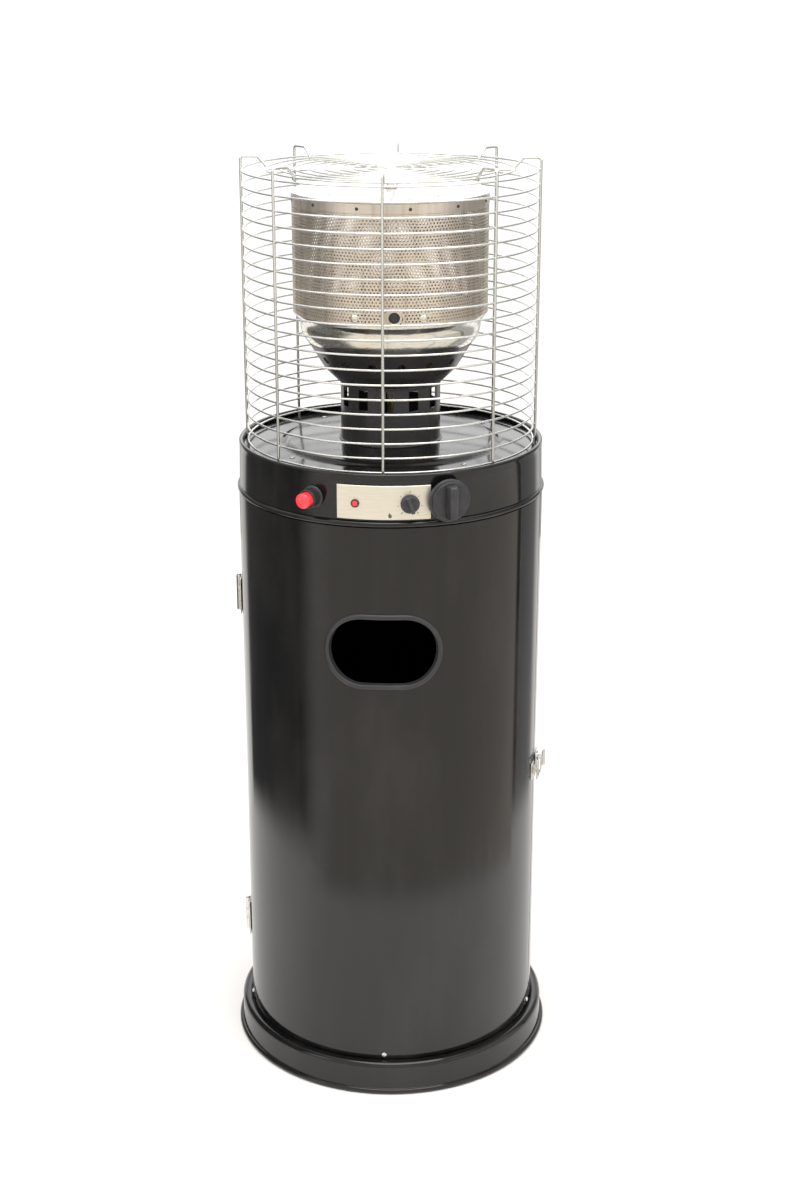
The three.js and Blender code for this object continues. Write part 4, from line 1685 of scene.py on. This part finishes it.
    def _top(self) -> None:
        """Models the band with its rivets, the cap and its bolt."""
        low, high = place("emitter_band")
        r = self.radius + 0.5
        bottom, top = low.z, high.z
        section = [(r - 1.7, bottom), (r - 0.3, bottom), (r, bottom + 0.4), (r, top - 0.4), (r - 0.3, top),
                   (r - 1.7, top)]
        band = Piece.turned("band", section, 192, True)
        self.take(band.smooth(35), "cabinet", PerforatedSteel(), "emitter_band")
        azimuths = [self.first_rivet + number * 360 / self.rivets for number in range(self.rivets)]
        rivets = [screw_head("band_rivets", 2.3, 1.2, False).shift((r, 0, 0)).stand(at, (bottom + top) / 2)
                  for at in azimuths]
        self.take(rivets[0].join(*rivets[1:]), "cabinet", BlackEnamel(Sheen.HEATED))

        low, high = place("emitter_cap")
        reach, z, crown = high.x, low.z, high.z
        cap = Piece.turned("cap", [
            (0, z), (reach - 3, z), *arc((reach - 1.5, z + 1.5), 1.5, -90, 90, 8), (reach - 5, z + 2.6),
            (reach - 8, z + 2.2), (reach - 22, z + 2.9), (reach * 0.5, crown - 0.9),
            (reach * 0.2, crown - 0.15), (0, crown)], 192)
        self.take(cap.smooth(40), "cabinet", PolishedSteel(), "emitter_cap")

        low, high = place("cap_bolt")
        washer = Piece.turned("cap_nut", [(0, low.z), (9, low.z), (9, low.z + 1.1), (8.4, low.z + 1.7),
                                          (0, low.z + 1.7)], 40)
        Piece.clear()
        bpy.ops.mesh.primitive_cylinder_add(vertices=6, radius=6 * MM, depth=(high.z - low.z - 1.6) * MM,
                                            location=(0, 0, (high.z + low.z + 1.6) / 2 * MM))
        washer.join(Piece("nut").soften(0.5, 3))
        self.take(washer.smooth(35), "cabinet", PlatedFittings(), "cap_bolt")


@dataclass
class Guard(Assembly):
    """The wire guard: rings, uprights with their hooks, and the grille on top."""

    radius: float = 205.5
    wire: float = 1.5
    upright: float = 2.0
    rings: int = 20
    pitch: float = 20
    first: float = 951
    uprights: int = 8
    hook: float = 4.5
    slant: float = 48
    reach_in: float = 186.5
    grille_wire: float = 1.5
    hoops: int = 8
    hoop_step: float = 20

    def build(self) -> None:
        """Models the guard."""
        ring = Piece.turned("guard_rings", arc((self.radius, self.first), self.wire, 0, 315, 7), 160, True)
        ring.repeat(self.rings, (0, 0, self.pitch)).smooth(60)
        panels = [f"guard_panel_{number}" for number in range(1, self.uprights + 1)]
        self.take(ring, "cabinet", BrightWire(), *panels)

        low, high = place("guard_panel_1")
        grille_low, grille_high = place("guard_top")
        outer = grille_high.x - self.grille_wire
        at = self.radius + self.wire + self.upright - 0.5
        rise = high.z - self.upright - self.hook
        inward = (0, 1, 0)
        slant, reach_in = self.slant, self.reach_in
        rail = WireBender("guard_upright_1", self.upright, (0, -at, low.z), (0, 0, 1), 12)
        rail.straight(rise - low.z).bend(self.hook, 90, inward, 6)
        rail.straight(at - self.hook - reach_in).bend(self.hook, slant, (0, 0, -1), 4)
        drop = rail.at.z - grille_low.z - 3.4
        first = rail.straight(drop / math.sin(math.radians(slant))).done()
        copies = [first.copy(f"guard_upright_{number}").turn((0, 0, (number - 1) * 360 / self.uprights))
                  for number in range(2, self.uprights + 1)]
        for piece in (first, *copies):
            self.take(piece, "cabinet", BrightWire())
        self._grille(outer, (grille_low.z + grille_high.z) / 2)

    def _grille(self, outer: float, z: float) -> None:
        """Models the grille.

        Args:
            outer: Radius of its outermost hoop.
            z: Its height.
        """
        wire = self.grille_wire
        hoop = Piece.turned("guard_grille", arc((outer, z + wire * 0.6), wire, 0, 315, 7), 120, True)
        for number in range(1, self.hoops):
            steps = max(32, 120 - number * 12)
            section = arc((outer - number * self.hoop_step, z + wire * 0.6), wire * 0.85, 0, 315, 7)
            hoop.join(Piece.turned("hoop", section, steps, True))
        for number in range(self.uprights // 2):
            spoke = WireBender("spoke", wire, (-outer - 2.5, 0, z - wire * 0.7), (1, 0, 0), 8)
            bar = spoke.straight(2 * outer + 5).done()
            hoop.join(bar.turn((0, 0, number * 360 / self.uprights)))
        disc = Piece.turned("disc", [(0, z - 0.4), (9, z - 0.4), (9.6, z + 0.4), (9.2, z + 1.2), (5, z + 2),
                                     (0, z + 2.2)], 40)
        self.take(hoop.join(disc).smooth(60), "cabinet", BrightWire(), "guard_top")


# ---------------------------------------------------------------- studio


@dataclass(frozen=True)
class Card:
    """A curved card round the heater that only reflections see."""

    name: str
    azimuths: Pair
    heights: Pair
    radius: float
    glow: float
    sides: Pair = (0.0, 0.0)
    ends: Pair = (0.0, 0.0)
    colour: Triple = (1.0, 1.0, 1.0)

    def _material(self) -> bpy.types.Material:
        """Makes the card's glow, which thins out over sides degrees and, at foot and head, over ends."""
        start, end = self.azimuths
        half = math.radians(end - start) / 2
        first, last = (math.radians(width) for width in self.sides)
        shade = Shade(self.name)
        turned = shade.around() - math.radians((start + end) / 2)
        wrapped = turned.maths("WRAP", turned, math.pi, -math.pi)
        share = wrapped.fade(-half - MERGE, first - half) * (1 - wrapped.fade(half - last, half + MERGE))
        low, high = (height * MM for height in self.heights)
        foot, head = (length * MM for length in self.ends)
        z = shade.height()
        if foot:
            share = share * z.fade(low, low + foot)
        if head:
            share = share * (1 - z.fade(high - head, high))
        light = shade.node("ShaderNodeEmission", None, {"Color": self.colour, "Strength": self.glow})
        clear = shade.node("ShaderNodeBsdfTransparent")
        return shade.show(shade.node("ShaderNodeMixShader", None, {0: share, 1: clear, 2: light}))

    def build(self) -> None:
        """Stands the card up."""
        low, high = self.heights
        start, end = self.azimuths
        piece = Piece.turned(self.name, [(self.radius, low), (self.radius, high)],
                             max(2, round((end - start) / 4)), False, start, end)
        piece.object.data.materials.append(self._material())
        card = piece.object
        card.visible_camera = card.visible_diffuse = card.visible_shadow = False
        card.visible_transmission = False


@dataclass
class Studio:
    """A pale floor, soft light all round and the camera."""

    lens: float = 57.17
    sensor: float = 36
    camera_at: Triple = (0.1355, -2.6862, 1.6307)
    tilt: float = 19.114
    pan: float = 2.6
    surround: float = 1.12
    floor_colour: Triple = (0.95, 0.925, 0.895)
    floor_half: float = 9.0
    cards: Sequence[Card] = field(default_factory=lambda: (
        Card("backdrop_glow", (140, 220), (1300, 3400), 2600, 2.0, (10, 10), (300, 300)),
        Card("back_ring", (150, 210), (0, 1200), 2650, 0.62, (8, 8), (0, 250)),
        Card("left_flag", (-129, -36), (0, 1000), 880, 0.10, (4, 28), (110, 60)),
        Card("right_flag", (99.5, 107.5), (0, 1000), 900, 0.08, (1, 1), (110, 60)),
        Card("right_dim", (107, 138), (0, 1000), 900, 0.45, (1, 10), (110, 60)),
        Card("front_low", (-60, 101), (0, 800), 760, 1.0, (24, 2), (60, 60), (1.0, 0.93, 0.83)),
        Card("front_mid", (-60, 101), (770, 1000), 770, 0.60, (24, 2), (40, 40), (1.0, 0.95, 0.87)),
        Card("front_high", (-75, 80), (970, 1500), 780, 1.0, (48, 48), (40, 120), (1.0, 0.96, 0.89)),
        Card("emitter_left", (-150, -25), (960, 1600), 870, 0.30, (20, 35), (40, 120)),
        Card("emitter_right", (30, 150), (960, 1600), 870, 0.30, (35, 20), (40, 120)),
    ))

    def build(self) -> None:
        """Sets the studio up."""
        self._camera()
        self._world()
        self._floor()
        for card in self.cards:
            card.build()
        self._lamp("overhead", (0.2, -0.5, 2.6), 1.6, 28, (0, 0, 0.3))
        self._lamp("left_window", (-2.6, -2.0, 2.2), 1.6, 32, (0, 0, 0.8))
        self._lamp("right_window", (2.8, -1.6, 2.0), 1.4, 26, (0, 0, 0.9))

    def _camera(self) -> None:
        """Places the camera."""
        data = bpy.data.cameras.new("camera")
        data.lens, data.sensor_width = self.lens, self.sensor
        data.dof.use_dof = False
        data.clip_start, data.clip_end = 0.05, 60
        camera = bpy.data.objects.new("camera", data)
        camera.location = self.camera_at
        camera.rotation_euler = (math.radians(90 - self.tilt), 0, math.radians(self.pan))
        bpy.context.scene.collection.objects.link(camera)
        bpy.context.scene.camera = camera

    def _world(self) -> None:
        """Makes a plain white surround."""
        world = bpy.data.worlds.new("studio")
        world.use_nodes = True
        background = world.node_tree.nodes["Background"]
        background.inputs["Color"].default_value = (1, 1, 1, 1)
        background.inputs["Strength"].default_value = self.surround
        bpy.context.scene.world = world
        bpy.context.scene.view_settings.view_transform = "Standard"
        bpy.context.scene.view_settings.look = "None"

    def _floor(self) -> None:
        """Lays the floor."""
        Piece.clear()
        bpy.ops.mesh.primitive_plane_add(size=2 * self.floor_half, location=(0, 0, 0))
        floor = Piece("floor")
        shade = Shade("pale_floor")
        grain = shade.noise(3, 4)
        colour = shade.blend(grain * 0.2, self.floor_colour, (0.94, 0.92, 0.90))
        floor.object.data.materials.append(shade.finish(Base_Color=colour, Roughness=0.75,
                                                        Specular_IOR_Level=0.1))

    def _lamp(self, name: str, at: Triple, size: float, power: float, aim: Triple) -> None:
        """Hangs a soft square lamp.

        Args:
            name: The lamp's name.
            at: Where it hangs, in metres.
            size: Its side.
            power: Its power in watts.
            aim: What it points at.
        """
        data = bpy.data.lights.new(name, "AREA")
        data.shape, data.size, data.energy = "SQUARE", size, power
        lamp = bpy.data.objects.new(name, data)
        lamp.location = at
        lamp.rotation_euler = (Vector(at) - Vector(aim)).to_track_quat("Z", "Y").to_euler()
        lamp.visible_camera = False
        bpy.context.scene.collection.objects.link(lamp)


def main() -> None:
    """Builds the heater, one sub-assembly after another."""
    logging.basicConfig(level=logging.INFO, format="%(message)s")
    Studio().build()
    parts: Iterable[Assembly] = (
        Base(), Cabinet(), Hinges(), ToggleLatch(), Collar(), Controls(), GasTrain(), Emitter(), Guard())
    for part in parts:
        LOG.info("-- %s", type(part).__name__)
        part.build()
        part.dress()


if __name__ == "__main__":
    main()
